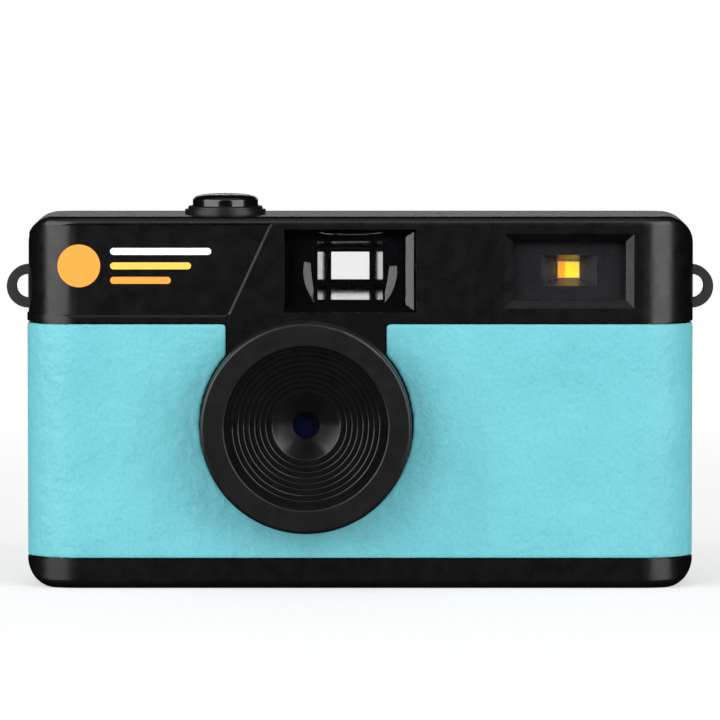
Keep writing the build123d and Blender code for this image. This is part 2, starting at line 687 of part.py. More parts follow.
with BuildPart() as lens_barrel:
    with BuildSketch(about_axis(LENS_X, LENS_Z)):
        with BuildLine():
            Polyline(
                (BARREL_FRONT, BARREL_LIP_RADIUS),
                (BARREL_FRONT, BARREL_RADIUS),
                (FRONT, BARREL_RADIUS),
                (FRONT, SPIGOT_RADIUS),
                (FRONT_INNER, SPIGOT_RADIUS),
                (FRONT_INNER, BAFFLE_RADIUS + RUNNING),
                (BARREL_FRONT + BARREL_LIP, BAFFLE_RADIUS + RUNNING),
                (BARREL_FRONT + BARREL_LIP, BARREL_LIP_RADIUS),
                close=True,
            )
        make_face()
    revolve(axis=lens_axis)
    front_rings = lens_barrel.edges().filter_by(GeomType.CIRCLE).group_by(Axis.Y)[0].sort_by(SortBy.RADIUS)
    fillet(front_rings[-1:], BARREL_ROUND)
    fillet(front_rings[:1], BARREL_LIP_ROUND)
    holes(facing_front(FRONT), barrel_screw_places, SCREW_SMALL[2], -(SCREW_SMALL[3] - WALL))
lens_barrel.part.label = "lens_barrel"
export_step(lens_barrel.part, "parts/lens_barrel.step")

with BuildPart() as lens_baffle:
    with BuildSketch(about_axis(LENS_X, LENS_Z)):
        with BuildLine():
            start = BARREL_FRONT + BARREL_LIP
            steps = [(start, BAFFLE_RADIUS), (start, RIDGE_OUTER_RADIUS)]
            for ridge in range(RIDGES):
                depth = start + (ridge + 1) * ridge_drop
                steps.append((depth, RIDGE_OUTER_RADIUS - ridge * RIDGE_PITCH))
                steps.append((depth, RIDGE_OUTER_RADIUS - (ridge + 1) * RIDGE_PITCH))
            Polyline(
                *steps,
                (funnel_end, APERTURE_RADIUS),
                (pane_front, APERTURE_RADIUS),
                (pane_front, PANE_RADIUS + RUNNING),
                (pane_back, PANE_RADIUS + RUNNING),
                (pane_back, PANE_RADIUS + BAFFLE_WALL),
                (cone_start + BAFFLE_WALL, cone_radius + BAFFLE_WALL),
                (start + BAFFLE_WALL * 2, BAFFLE_RADIUS - BAFFLE_WALL),
                (baffle_back, BAFFLE_RADIUS - BAFFLE_WALL),
                (baffle_back, BAFFLE_RADIUS),
                close=True,
            )
        make_face()
    revolve(axis=lens_axis)
    rings = lens_baffle.edges().filter_by(GeomType.CIRCLE)
    noses = []
    for ridge in range(1, RIDGES + 1):
        nose_radius = RIDGE_OUTER_RADIUS - ridge * RIDGE_PITCH
        same_size = [ring for ring in rings if abs(ring.radius - nose_radius) < RUNNING]
        noses.append(ShapeList(same_size).sort_by(Axis.Y)[0])
    fillet(noses, RIDGE_ROUND)
lens_baffle.part.label = "lens_baffle"
export_step(lens_baffle.part, "parts/lens_baffle.step")

with BuildPart() as lens_pane:
    posts(facing_front(pane_back), [(LENS_X, LENS_Z)], PANE_RADIUS, PANE_THICKNESS)
lens_pane.part.label = "lens_pane"
export_step(lens_pane.part, "parts/lens_pane.step")

front_element_at = cell_front + STOP_THICKNESS
stop_at = front_element_at + ELEMENT_THICKNESS
rear_element_at = stop_at + STOP_THICKNESS
filter_at = cell_back - FILTER_THICKNESS

with BuildPart() as lens_cell:
    posts(facing_front(cell_front), [(LENS_X, LENS_Z)], CELL_HEAD_RADIUS, -CELL_HEAD_LENGTH)
    posts(facing_front(cell_front), [(LENS_X, LENS_Z)], CELL_RADIUS, -CELL_LENGTH)
    holes(facing_front(cell_front), [(LENS_X, LENS_Z)], APERTURE_RADIUS + BAFFLE_WALL, CELL_LENGTH)
    holes(facing_front(front_element_at), [(LENS_X, LENS_Z)], ELEMENT_RADIUS, CELL_LENGTH)
lens_cell.part.label = "lens_cell"
export_step(lens_cell.part, "parts/lens_cell.step")

with BuildPart() as front_element:
    lens_element(LENS_X, LENS_Z, front_element_at, ELEMENT_THICKNESS, ELEMENT_RADIUS, ELEMENT_BULGE)
front_element.part.label = "front_element"
export_step(front_element.part, "parts/front_element.step")

with BuildPart() as rear_element:
    lens_element(LENS_X, LENS_Z, rear_element_at, ELEMENT_THICKNESS, ELEMENT_RADIUS, ELEMENT_BULGE)
rear_element.part.label = "rear_element"
export_step(rear_element.part, "parts/rear_element.step")

with BuildPart() as aperture_stop:
    posts(facing_front(stop_at), [(LENS_X, LENS_Z)], ELEMENT_RADIUS, -STOP_THICKNESS)
    holes(facing_front(stop_at), [(LENS_X, LENS_Z)], STOP_RADIUS, STOP_THICKNESS)
aperture_stop.part.label = "aperture_stop"
export_step(aperture_stop.part, "parts/aperture_stop.step")

with BuildPart() as infrared_filter:
    posts(facing_front(filter_at), [(LENS_X, LENS_Z)], ELEMENT_RADIUS, -FILTER_THICKNESS)
infrared_filter.part.label = "infrared_filter"
export_step(infrared_filter.part, "parts/infrared_filter.step")

holder_screw_places = [(LENS_X + side * HOLDER_SCREW_SPACING / 2, LENS_Z) for side in (-1, 1)]
holder_ear = SCREW_SMALL[3] - BOARD_THICKNESS + TRAVEL_GAP
with BuildPart() as lens_holder:
    block(facing_front(BOARD_FRONT), (LENS_X, LENS_Z), (HOLDER_SIZE, HOLDER_SIZE), holder_ear)
    ears = (HOLDER_SCREW_SPACING + 2 * SCREW_SMALL[0] + 2 * SLIP, 2 * SCREW_SMALL[0] + 2 * SLIP)
    block(facing_front(BOARD_FRONT), (LENS_X, LENS_Z), ears, holder_ear)
    posts(
        facing_front(BOARD_FRONT),
        [(LENS_X, LENS_Z)],
        CELL_RADIUS + BAFFLE_WALL,
        BOARD_FRONT - holder_front,
    )
    block(
        facing_front(BOARD_FRONT),
        (LENS_X, LENS_Z),
        (HOLDER_POCKET, HOLDER_POCKET),
        HOLDER_POCKET_DEPTH,
        Mode.SUBTRACT,
    )
    holes(facing_front(holder_front), [(LENS_X, LENS_Z)], CELL_RADIUS, BOARD_FRONT - holder_front)
    holes(facing_front(BOARD_FRONT), holder_screw_places, SCREW_SMALL[2], -holder_ear + TRAVEL_GAP)
lens_holder.part.label = "lens_holder"
export_step(lens_holder.part, "parts/lens_holder.step")

with BuildPart() as image_sensor:
    block(facing_front(BOARD_FRONT), (LENS_X, LENS_Z), (SENSOR_SIZE, SENSOR_SIZE), SENSOR_THICKNESS)
    chamfer(image_sensor.edges().filter_by(Axis.Y), EASED)
image_sensor.part.label = "image_sensor"
export_step(image_sensor.part, "parts/image_sensor.step")

# ---------------------------------------------------------------- main board

board_centre = ((BOARD_LEFT + BOARD_RIGHT) / 2, (BOARD_BOTTOM + BOARD_TOP) / 2)
board_size = (BOARD_RIGHT - BOARD_LEFT, BOARD_TOP - BOARD_BOTTOM)
with BuildPart() as main_board:
    block(facing_front(BOARD_BACK), board_centre, board_size, BOARD_THICKNESS)
    holes(facing_front(BOARD_FRONT), board_posts, SCREW_SMALL[2] + RUNNING, BOARD_THICKNESS)
    holes(facing_front(BOARD_FRONT), holder_screw_places, SCREW_SMALL[2] + RUNNING, BOARD_THICKNESS)
main_board.part.label = "main_board"
export_step(main_board.part, "parts/main_board.step")

# Chips on the back of the board: place from the lens axis, size and thickness
chips = [
    ((0.0, 3.0), (9.0, 9.0), 1.2),
    ((-12.5, 6.0), (8.0, 6.0), 1.0),
    ((0.0, -8.0), (5.0, 4.0), 1.0),
    ((15.0, 4.5), (4.0, 4.0), 1.8),
    ((13.0, -6.5), (3.0, 2.6), 0.9),
    ((7.5, -6.0), (3.2, 2.5), 0.8),
]
with BuildPart() as board_chips:
    for (across, up), size, thickness in chips:
        block(facing_front(BOARD_BACK), (LENS_X + across, LENS_Z + up), size, -thickness)
board_chips.part.label = "board_chips"
export_step(board_chips.part, "parts/board_chips.step")

with BuildPart() as usb_c_socket:
    with BuildSketch(Plane.XY.offset(USB_SETBACK)):
        with Locations((USB_X, usb_y)):
            SlotOverall(USB_SIZE[0], USB_SIZE[1])
    extrude(amount=USB_SIZE[2])
    with BuildSketch(Plane.XY.offset(USB_SETBACK)):
        with Locations((USB_X, usb_y)):
            SlotOverall(USB_THROAT[0], USB_THROAT[1])
            Rectangle(USB_TONGUE[0], USB_TONGUE[1], mode=Mode.SUBTRACT)
    extrude(amount=USB_THROAT_DEPTH, mode=Mode.SUBTRACT)
    block(
        Plane.XY.offset(USB_SETBACK),
        (USB_X, usb_y),
        USB_TONGUE,
        USB_THROAT_DEPTH - USB_TONGUE_LENGTH,
        Mode.SUBTRACT,
    )
usb_c_socket.part.label = "usb_c_socket"
export_step(usb_c_socket.part, "parts/usb_c_socket.step")

card_bottom = BOARD_BOTTOM - CARD_PROUD
with BuildPart() as card_socket:
    block(Plane.XY.offset(BOARD_BOTTOM), (CARD_X, card_y), CARD_SOCKET[:2], CARD_SOCKET[2])
    card_slot = (CARD_SIZE[0] + 2 * RUNNING, CARD_SIZE[1] + 2 * RUNNING)
    block(
        Plane.XY.offset(BOARD_BOTTOM),
        (CARD_X, card_y),
        card_slot,
        CARD_SIZE[2] - CARD_PROUD,
        Mode.SUBTRACT,
    )
card_socket.part.label = "card_socket"
export_step(card_socket.part, "parts/card_socket.step")

with BuildPart() as memory_card:
    block(Plane.XY.offset(card_bottom), (CARD_X, card_y), CARD_SIZE[:2], CARD_SIZE[2])
    fillet(memory_card.edges().filter_by(Axis.Y), CARD_SIZE[1] / 2)
memory_card.part.label = "memory_card"
export_step(memory_card.part, "parts/memory_card.step")

door_bottom = DOOR_RECESS - DOOR_THICKNESS
door_seat = door_bottom + SCREW_SMALL[1]
with BuildPart() as card_door:
    with BuildSketch(Plane.XY.offset(door_bottom)):
        with Locations((door_x, card_y)):
            RectangleRounded(door_length, DOOR_WIDTH, DOOR_CORNER_RADIUS)
    extrude(amount=DOOR_THICKNESS)
    holes(Plane.XY.offset(door_bottom), [(door_screw_x, card_y)], SCREW_SMALL[0] + SLIP, -SCREW_SMALL[1])
    holes(Plane.XY.offset(door_bottom), [(door_screw_x, card_y)], SCREW_SMALL[2] + SLIP, -DOOR_THICKNESS)
card_door.part.label = "card_door"
export_step(card_door.part, "parts/card_door.step")

with BuildPart() as card_door_screw:
    screws(Plane.XY.offset(door_seat), [(door_screw_x, card_y)], SCREW_SMALL, side=-1)
card_door_screw.part.label = "card_door_screw"
export_step(card_door_screw.part, "parts/card_door_screw.step")

# ---------------------------------------------------------------- battery and buzzer

battery_x = (BATTERY_LEFT + BATTERY_RIGHT) / 2
battery_front = FRONT_INNER + TAPE_THICKNESS
battery_z = (BATTERY_BOTTOM + BATTERY_TOP) / 2
with BuildPart() as battery_cell:
    block(facing_front(battery_front), (battery_x, battery_z), BATTERY_SIZE[::2], -BATTERY_SIZE[1])
    fillet(battery_cell.edges().filter_by(Axis.Z), BATTERY_CORNER)
battery_cell.part.label = "battery_cell"
export_step(battery_cell.part, "parts/battery_cell.step")

with BuildPart() as battery_tape:
    tape_size = (BATTERY_SIZE[0] - 4 * BATTERY_CORNER, BATTERY_SIZE[2] - 4 * BATTERY_CORNER)
    block(facing_front(FRONT_INNER), (battery_x, battery_z), tape_size, -TAPE_THICKNESS)
battery_tape.part.label = "battery_tape"
export_step(battery_tape.part, "parts/battery_tape.step")

buzzer_z = LENS_Z - POST_RADIUS
with BuildPart() as buzzer:
    posts(facing_front(FRONT_INNER), [(BUZZER_X, buzzer_z)], BUZZER_RADIUS, -BUZZER_THICKNESS)
    chamfer(buzzer.edges().group_by(Axis.Y)[-1], EASED)
buzzer.part.label = "buzzer"
export_step(buzzer.part, "parts/buzzer.step")

# ---------------------------------------------------------------- viewfinder

view_front = FRONT + RUNNING
view_back = view_front + VIEW_PLATE
view_plate = (VIEW_OPENING[0] - 2 * SLIP, VIEW_OPENING[1] - 2 * SLIP)
view_mouth = (view_plate[0] - 2 * VIEW_RIM, view_plate[1] - 2 * VIEW_RIM)
view_floor = (view_mouth[0] - 2 * VIEW_BEVEL[0], view_mouth[1] - 2 * VIEW_BEVEL[1])
view_ears = (VIEW_OPENING[0] + 2 * VIEW_EAR, view_plate[1])
dish_sphere = (VIEW_DISH_RADIUS**2 + VIEW_DISH_DEPTH**2) / (2 * VIEW_DISH_DEPTH)

view_flat = view_front + VIEW_TRAY_DEPTH
dish_rim = view_flat + VIEW_DISH_STEP
with BuildPart() as dish_cut:
    with Locations((VIEW_X, dish_rim + VIEW_DISH_DEPTH - dish_sphere, HOUSING_Z)):
        Sphere(dish_sphere)
    block(facing_front(dish_rim), (VIEW_X, HOUSING_Z), view_floor, -VIEW_DISH_DEPTH, Mode.INTERSECT)
    with BuildSketch(facing_front(dish_rim)):
        with Locations((VIEW_X, HOUSING_Z)):
            Circle(VIEW_DISH_RADIUS)
    extrude(amount=VIEW_DISH_STEP, taper=-BEVEL_ANGLE)
    dish_back = dish_rim + VIEW_DISH_DEPTH
    block(facing_front(dish_back), (VIEW_X, HOUSING_Z), view_floor, dish_back - view_flat, Mode.INTERSECT)

with BuildPart() as viewfinder_window:
    block(facing_front(view_back), (VIEW_X, HOUSING_Z), view_plate, VIEW_PLATE)
    block(facing_front(FRONT_INNER), (VIEW_X, HOUSING_Z), view_ears, -VIEW_EAR_THICKNESS)
    with BuildSketch(facing_front(view_front)):
        with Locations((VIEW_X, HOUSING_Z)):
            Rectangle(*view_mouth)
    with BuildSketch(facing_front(view_flat)):
        with Locations((VIEW_X, HOUSING_Z)):
            Rectangle(*view_floor)
    loft(mode=Mode.SUBTRACT)
    add(dish_cut.part, mode=Mode.SUBTRACT)
viewfinder_window.part.label = "viewfinder_window"
export_step(viewfinder_window.part, "parts/viewfinder_window.step")

with BuildPart() as viewfinder_tunnel:
    tunnel_size = (TUNNEL_BORE[0] + 2 * TUNNEL_WALL, TUNNEL_BORE[1] + 2 * TUNNEL_WALL)
    tunnel_length = BACK_INNER - view_back
    block(facing_front(BACK_INNER), (VIEW_X, HOUSING_Z), tunnel_size, tunnel_length)
    block(facing_front(view_back + TUNNEL_FLANGE), (VIEW_X, HOUSING_Z), view_ears, TUNNEL_FLANGE)
    block(facing_front(BACK_INNER), (VIEW_X, HOUSING_Z), TUNNEL_BORE, tunnel_length, Mode.SUBTRACT)
viewfinder_tunnel.part.label = "viewfinder_tunnel"
export_step(viewfinder_tunnel.part, "parts/viewfinder_tunnel.step")

eye_lens_size = (EYE_OPENING[0] + 2 * TUNNEL_WALL, EYE_OPENING[1] + 2 * TUNNEL_WALL)
eye_lens_back = BACK_INNER + EYE_LENS_THICKNESS
with BuildPart() as eyepiece_frame:
    with BuildSketch(facing_front(BACK)):
        with Locations((VIEW_X, HOUSING_Z)):
            RectangleRounded(*EYE_FRAME, EYE_FRAME_RADIUS)
    extrude(amount=-EYEPIECE_PROTRUSION)
    chamfer(eyepiece_frame.edges().group_by(Axis.Y)[-1], EYE_BEVEL)
    block(facing_front(BACK), (VIEW_X, HOUSING_Z), eye_body, WALL)
    block(
        facing_front(BACK + EYEPIECE_PROTRUSION),
        (VIEW_X, HOUSING_Z),
        EYE_OPENING,
        WALL + EYEPIECE_PROTRUSION,
        Mode.SUBTRACT,
    )
    block(facing_front(eye_lens_back), (VIEW_X, HOUSING_Z), eye_lens_size, EYE_LENS_THICKNESS, Mode.SUBTRACT)
eyepiece_frame.part.label = "eyepiece_frame"
export_step(eyepiece_frame.part, "parts/eyepiece_frame.step")

with BuildPart() as eyepiece_lens:
    block(facing_front(eye_lens_back), (VIEW_X, HOUSING_Z), eye_lens_size, EYE_LENS_THICKNESS)
    chamfer(eyepiece_lens.edges().group_by(Axis.Y)[-1], EASED)
eyepiece_lens.part.label = "eyepiece_lens"
export_step(eyepiece_lens.part, "parts/eyepiece_lens.step")

# ---------------------------------------------------------------- flash

with BuildPart() as flash_pane:
    flange = (flash_window[0] + 2 * FLASH_FLANGE, flash_window[1] + 2 * FLASH_FLANGE)
    block(facing_front(FRONT_INNER), (FLASH_X, HOUSING_Z), flange, -FLASH_FLANGE_THICKNESS)
    pane_size = (flash_window[0] - 2 * SLIP, flash_window[1] - 2 * SLIP)
    block(facing_front(FRONT_INNER), (FLASH_X, HOUSING_Z), pane_size, WALL - FLASH_BEVEL_DEPTH)
flash_pane.part.label = "flash_pane"
export_step(flash_pane.part, "parts/flash_pane.step")

with BuildPart() as flash_reflector:
    block(facing_front(flash_board_front), (FLASH_X, HOUSING_Z), flash_window, REFLECTOR_DEPTH)
    with BuildSketch(facing_front(reflector_front)):
        with Locations((FLASH_X, HOUSING_Z)):
            Rectangle(*REFLECTOR_MOUTH)
    with BuildSketch(facing_front(flash_board_front - LED_THICKNESS)):
        with Locations((FLASH_X, HOUSING_Z)):
            Rectangle(PHOSPHOR_SIZE[0] + 2 * SLIP, PHOSPHOR_SIZE[1] + 2 * SLIP)
    loft(mode=Mode.SUBTRACT)
    block(facing_front(flash_board_front), (FLASH_X, HOUSING_Z), LED_SIZE, LED_THICKNESS, Mode.SUBTRACT)
flash_reflector.part.label = "flash_reflector"
export_step(flash_reflector.part, "parts/flash_reflector.step")

with BuildPart() as flash_led:
    block(facing_front(flash_board_front), (FLASH_X, HOUSING_Z), LED_SIZE, LED_THICKNESS)
flash_led.part.label = "flash_led"
export_step(flash_led.part, "parts/flash_led.step")

with BuildPart() as flash_phosphor:
    led_front = flash_board_front - LED_THICKNESS
    block(facing_front(led_front), (FLASH_X, HOUSING_Z), PHOSPHOR_SIZE, PHOSPHOR_THICKNESS)
flash_phosphor.part.label = "flash_phosphor"
export_step(flash_phosphor.part, "parts/flash_phosphor.step")

flash_board_back = flash_board_front + BOARD_THICKNESS
with BuildPart() as flash_board:
    flash_board_size = (flash_board_width, FLASH_BOARD_HEIGHT)
    block(facing_front(flash_board_back), (FLASH_X, HOUSING_Z), flash_board_size, BOARD_THICKNESS)
    holes(facing_front(flash_board_front), flash_posts, SCREW_SMALL[2] + RUNNING, BOARD_THICKNESS)
flash_board.part.label = "flash_board"
export_step(flash_board.part, "parts/flash_board.step")

# ---------------------------------------------------------------- shutter release

collar_floor_top = collar_bottom + COLLAR_FLOOR
cap_bottom = BODY_HEIGHT - CAP_SKIRT
cap_shoulder = BODY_HEIGHT + CAP_RISE - CAP_DOME
spring_roof = BODY_HEIGHT + COLLAR_RISE - CAP_ROOF_DROP
stem_hole_radius = STEM_RADIUS + SLIP

with BuildPart() as shutter_collar:
    posts(Plane.XY.offset(BODY_HEIGHT), [(SHUTTER_X, SEAM)], COLLAR_RADIUS, COLLAR_STEP)
    posts(Plane.XY.offset(BODY_HEIGHT), [(SHUTTER_X, SEAM)], COLLAR_STEP_RADIUS, COLLAR_RISE)
    chamfer(shutter_collar.edges().group_by(Axis.Z)[-1], EASED)
    posts(Plane.XY.offset(BODY_HEIGHT), [(SHUTTER_X, SEAM)], collar_neck_radius, -(WALL + COLLAR_DROP))
    posts(Plane.XY.offset(TOP_INNER), [(SHUTTER_X, SEAM)], COLLAR_RADIUS, -COLLAR_DROP)
    collar_depth = BODY_HEIGHT + COLLAR_RISE - collar_floor_top
    holes(
        Plane.XY.offset(BODY_HEIGHT + COLLAR_RISE),
        [(SHUTTER_X, SEAM)],
        CAP_RADIUS + SLIP,
        collar_depth,
    )
    holes(Plane.XY.offset(collar_floor_top), [(SHUTTER_X, SEAM)], stem_hole_radius, COLLAR_FLOOR)
shutter_collar.part.label = "shutter_collar"
export_step(shutter_collar.part, "parts/shutter_collar.step")

shutter_section = Plane(origin=(SHUTTER_X, SEAM, 0), x_dir=(1, 0, 0), z_dir=(0, -1, 0))
with BuildPart() as shutter_button:
    with BuildSketch(shutter_section):
        with BuildLine():
            dome_edge = (CAP_RADIUS, cap_shoulder)
            dome_top = (0, BODY_HEIGHT + CAP_RISE)
            Polyline(
                dome_top,
                (0, stem_bottom),
                (STEM_RADIUS, stem_bottom),
                (STEM_RADIUS, clip_top - CLIP_THICKNESS),
                (CLIP_NECK_RADIUS, clip_top - CLIP_THICKNESS),
                (CLIP_NECK_RADIUS, clip_top),
                (STEM_RADIUS, clip_top),
                (STEM_RADIUS, spring_roof),
                (SPRING_RADIUS + 2 * SPRING_WIRE, spring_roof),
                (SPRING_RADIUS + 2 * SPRING_WIRE, cap_bottom),
                (CAP_RADIUS, cap_bottom),
                dome_edge,
            )
            Bezier(dome_edge, (CAP_RADIUS, dome_top[1]), (CAP_RADIUS / 2, dome_top[1]), dome_top)
        make_face()
    revolve(axis=shutter_axis)
shutter_button.part.label = "shutter_button"
export_step(shutter_button.part, "parts/shutter_button.step")

with BuildPart() as shutter_clip:
    posts(Plane.XY.offset(clip_top), [(SHUTTER_X, SEAM)], CLIP_RADIUS, -CLIP_THICKNESS)
    holes(Plane.XY.offset(clip_top), [(SHUTTER_X, SEAM)], CLIP_NECK_RADIUS, CLIP_THICKNESS)
    # The mouth that lets the clip slide onto the stem
    clip_mouth = (SHUTTER_X + CLIP_RADIUS / 2, SEAM)
    block(
        Plane.XY.offset(clip_top),
        clip_mouth,
        (CLIP_RADIUS, CLIP_MOUTH),
        -CLIP_THICKNESS,
        Mode.SUBTRACT,
    )
shutter_clip.part.label = "shutter_clip"
export_step(shutter_clip.part, "parts/shutter_clip.step")

wire_radius = SPRING_WIRE / 2
spring_height = spring_roof - collar_floor_top - SPRING_WIRE
with BuildPart() as shutter_spring:
    with BuildLine() as coil:
        Helix(
            pitch=spring_height / SPRING_TURNS,
            height=spring_height,
            radius=SPRING_RADIUS,
            center=(SHUTTER_X, SEAM, collar_floor_top + wire_radius),
        )
    with BuildSketch(coil.line ^ 0):
        Circle(wire_radius)
    sweep(path=coil.line)
shutter_spring.part.label = "shutter_spring"
export_step(shutter_spring.part, "parts/shutter_spring.step")

plunger_bottom = switch_top - 2 * SHUTTER_TRAVEL
with BuildPart() as switch_plunger:
    posts(Plane.XY.offset(stem_bottom), [(SHUTTER_X, SEAM)], PLUNGER_RADIUS, plunger_bottom - stem_bottom)
switch_plunger.part.label = "switch_plunger"
export_step(switch_plunger.part, "parts/switch_plunger.step")

with BuildPart() as shutter_switch:
    block(Plane.XY.offset(switch_bottom), (SHUTTER_X, SEAM), (SWITCH_SIZE, SWITCH_SIZE), SWITCH_HEIGHT)
    plunger_well = switch_top - plunger_bottom + SHUTTER_TRAVEL + TRAVEL_GAP
    holes(Plane.XY.offset(switch_top), [(SHUTTER_X, SEAM)], PLUNGER_RADIUS + SLIP, plunger_well)
shutter_switch.part.label = "shutter_switch"
export_step(shutter_switch.part, "parts/shutter_switch.step")

with BuildPart() as shutter_board:
    block(Plane.XY.offset(shelf_top), (SHUTTER_X, SEAM), SHUTTER_BOARD, BOARD_THICKNESS)
shutter_board.part.label = "shutter_board"
export_step(shutter_board.part, "parts/shutter_board.step")

# ---------------------------------------------------------------- counter display

lcd_back = BACK_INNER - LCD_PANE_FLANGE
lcd_front = lcd_back - LCD_THICKNESS
with BuildPart() as lcd_pane:
    pane_rim = (LCD_WINDOW[0] + 2 * FLASH_FLANGE, LCD_WINDOW[1] + 2 * FLASH_FLANGE)
    block(facing_front(BACK_INNER), (LCD_X, HOUSING_Z), pane_rim, LCD_PANE_FLANGE)
    pane_face = (LCD_WINDOW[0] - 2 * SLIP, LCD_WINDOW[1] - 2 * SLIP)
    block(facing_front(BACK_INNER), (LCD_X, HOUSING_Z), pane_face, -(WALL - PANEL_DEPTH))
lcd_pane.part.label = "lcd_pane"
export_step(lcd_pane.part, "parts/lcd_pane.step")

with BuildPart() as lcd_module:
    block(facing_front(lcd_back), (LCD_X, HOUSING_Z), LCD_MODULE, LCD_THICKNESS)
lcd_module.part.label = "lcd_module"
export_step(lcd_module.part, "parts/lcd_module.step")

# A flat ribbon from the display's lower edge to a connector on the back of the main board
ribbon_x = SHUTTER_X
connector_y = BOARD_BACK + RIBBON_CONNECTOR[1] / 2
connector_top = BOARD_TOP - RIBBON_CONNECTOR_INSET
ribbon_y = (lcd_front + lcd_back) / 2
lcd_bottom = HOUSING_Z - LCD_MODULE[1] / 2
with BuildPart() as lcd_ribbon:
    with BuildLine() as ribbon_route:
        FilletPolyline(
            (ribbon_x, ribbon_y, lcd_bottom),
            (ribbon_x, ribbon_y, (lcd_bottom + connector_top) / 2),
            (ribbon_x, connector_y, (lcd_bottom + connector_top) / 2),
            (ribbon_x, connector_y, connector_top),
            radius=RIBBON_BEND,
        )
    with BuildSketch(Plane(origin=(ribbon_x, ribbon_y, lcd_bottom), x_dir=(1, 0, 0), z_dir=(0, 0, -1))):
        Rectangle(RIBBON_SIZE[0], RIBBON_SIZE[1])
    sweep(path=ribbon_route.line)
lcd_ribbon.part.label = "lcd_ribbon"
export_step(lcd_ribbon.part, "parts/lcd_ribbon.step")

# ---------------------------------------------------------------- flash switch

knob_x = SLIDER_X - SLIDER_TRAVEL / 2
knob_floor = BACK - SLIDER_RECESS_DEPTH + SLIP
actuator_front = slide_body_back - ACTUATOR_ENGAGEMENT
with BuildPart() as flash_switch_knob:
    knob_rise = BACK + SLIDER_RISE - knob_floor
    block(facing_front(knob_floor), (knob_x, HOUSING_Z), SLIDER_KNOB, -knob_rise)
    with BuildSketch(facing_front(BACK + SLIDER_RISE)):
        with GridLocations(SLIDER_RIB_PITCH, 0, SLIDER_RIBS, 1):
            with Locations((knob_x, HOUSING_Z)):
                Rectangle(CROSS_WIDTH, SLIDER_KNOB[1])
    extrude(amount=CROSS_WIDTH, mode=Mode.SUBTRACT)
    block(facing_front(knob_floor), (knob_x, HOUSING_Z), SLIDER_NECK, knob_floor - knob_inner_end)
    barb_size = (SLIDER_NECK[0], SLIDER_NECK[1] + 2 * SLIDER_BARB)
    block(facing_front(knob_inner_end), (knob_x, HOUSING_Z), barb_size, -SLIDER_BARB_THICKNESS)
    socket_size = (ACTUATOR_SIZE[0] + 2 * RUNNING, ACTUATOR_SIZE[1] + 2 * RUNNING)
    block(facing_front(knob_inner_end), (knob_x, HOUSING_Z), socket_size, -ACTUATOR_LENGTH, Mode.SUBTRACT)
flash_switch_knob.part.label = "flash_switch_knob"
export_step(flash_switch_knob.part, "parts/flash_switch_knob.step")

with BuildPart() as slide_switch_actuator:
    block(facing_front(actuator_front), (knob_x, HOUSING_Z), ACTUATOR_SIZE, -ACTUATOR_LENGTH)
slide_switch_actuator.part.label = "slide_switch_actuator"
export_step(slide_switch_actuator.part, "parts/slide_switch_actuator.step")

with BuildPart() as slide_switch_body:
    block(facing_front(slide_body_back), (SLIDER_X, HOUSING_Z), SLIDE_BODY, SLIDE_BODY_THICKNESS)
    track = (ACTUATOR_SIZE[0] + SLIDER_TRAVEL + 2 * TRAVEL_GAP, ACTUATOR_SIZE[1] + 2 * SLIP)
    track_depth = ACTUATOR_ENGAGEMENT + TRAVEL_GAP
    block(facing_front(slide_body_back), (SLIDER_X, HOUSING_Z), track, track_depth, Mode.SUBTRACT)
slide_switch_body.part.label = "slide_switch_body"
export_step(slide_switch_body.part, "parts/slide_switch_body.step")

control_board_front = control_board_back - BOARD_THICKNESS
with BuildPart() as control_board:
    block(facing_front(control_board_back), (control_board_x, HOUSING_Z), CONTROL_BOARD, BOARD_THICKNESS)
    holes(facing_front(control_board_front), control_posts, SCREW_SMALL[2] + RUNNING, BOARD_THICKNESS)
control_board.part.label = "control_board"
export_step(control_board.part, "parts/control_board.step")

with BuildPart() as indicator_led:
    block(facing_front(control_board_back), (indicator_x, HOUSING_Z), INDICATOR_LED[:2], -INDICATOR_LED[2])
indicator_led.part.label = "indicator_led"
export_step(indicator_led.part, "parts/indicator_led.step")

with BuildPart() as indicator_light_pipe:
    pipe_front = control_board_back + INDICATOR_LED[2] + SLIP
    posts(facing_front(BACK), [(indicator_x, HOUSING_Z)], INDICATOR_RADIUS, BACK - pipe_front)
    posts(
        facing_front(BACK_INNER),
        [(indicator_x, HOUSING_Z)],
        INDICATOR_RADIUS + BOSS_WALL,
        BOSS_WALL,
    )
indicator_light_pipe.part.label = "indicator_light_pipe"
export_step(indicator_light_pipe.part, "parts/indicator_light_pipe.step")

# ---------------------------------------------------------------- identical inner screws

with BuildPart() as inner_screws:
    screws(facing_front(FRONT_INNER), barrel_screw_places, SCREW_SMALL, side=-1)
    screws(facing_front(BOARD_BACK), board_posts + holder_screw_places, SCREW_SMALL, side=-1)
    screws(facing_front(flash_board_back), flash_posts, SCREW_SMALL, side=-1)
    screws(facing_front(control_board_front), control_posts, SCREW_SMALL)
inner_screws.part.label = "inner_screws"
export_step(inner_screws.part, "parts/inner_screws.step")

# ---------------------------------------------------------------- plugs and leads

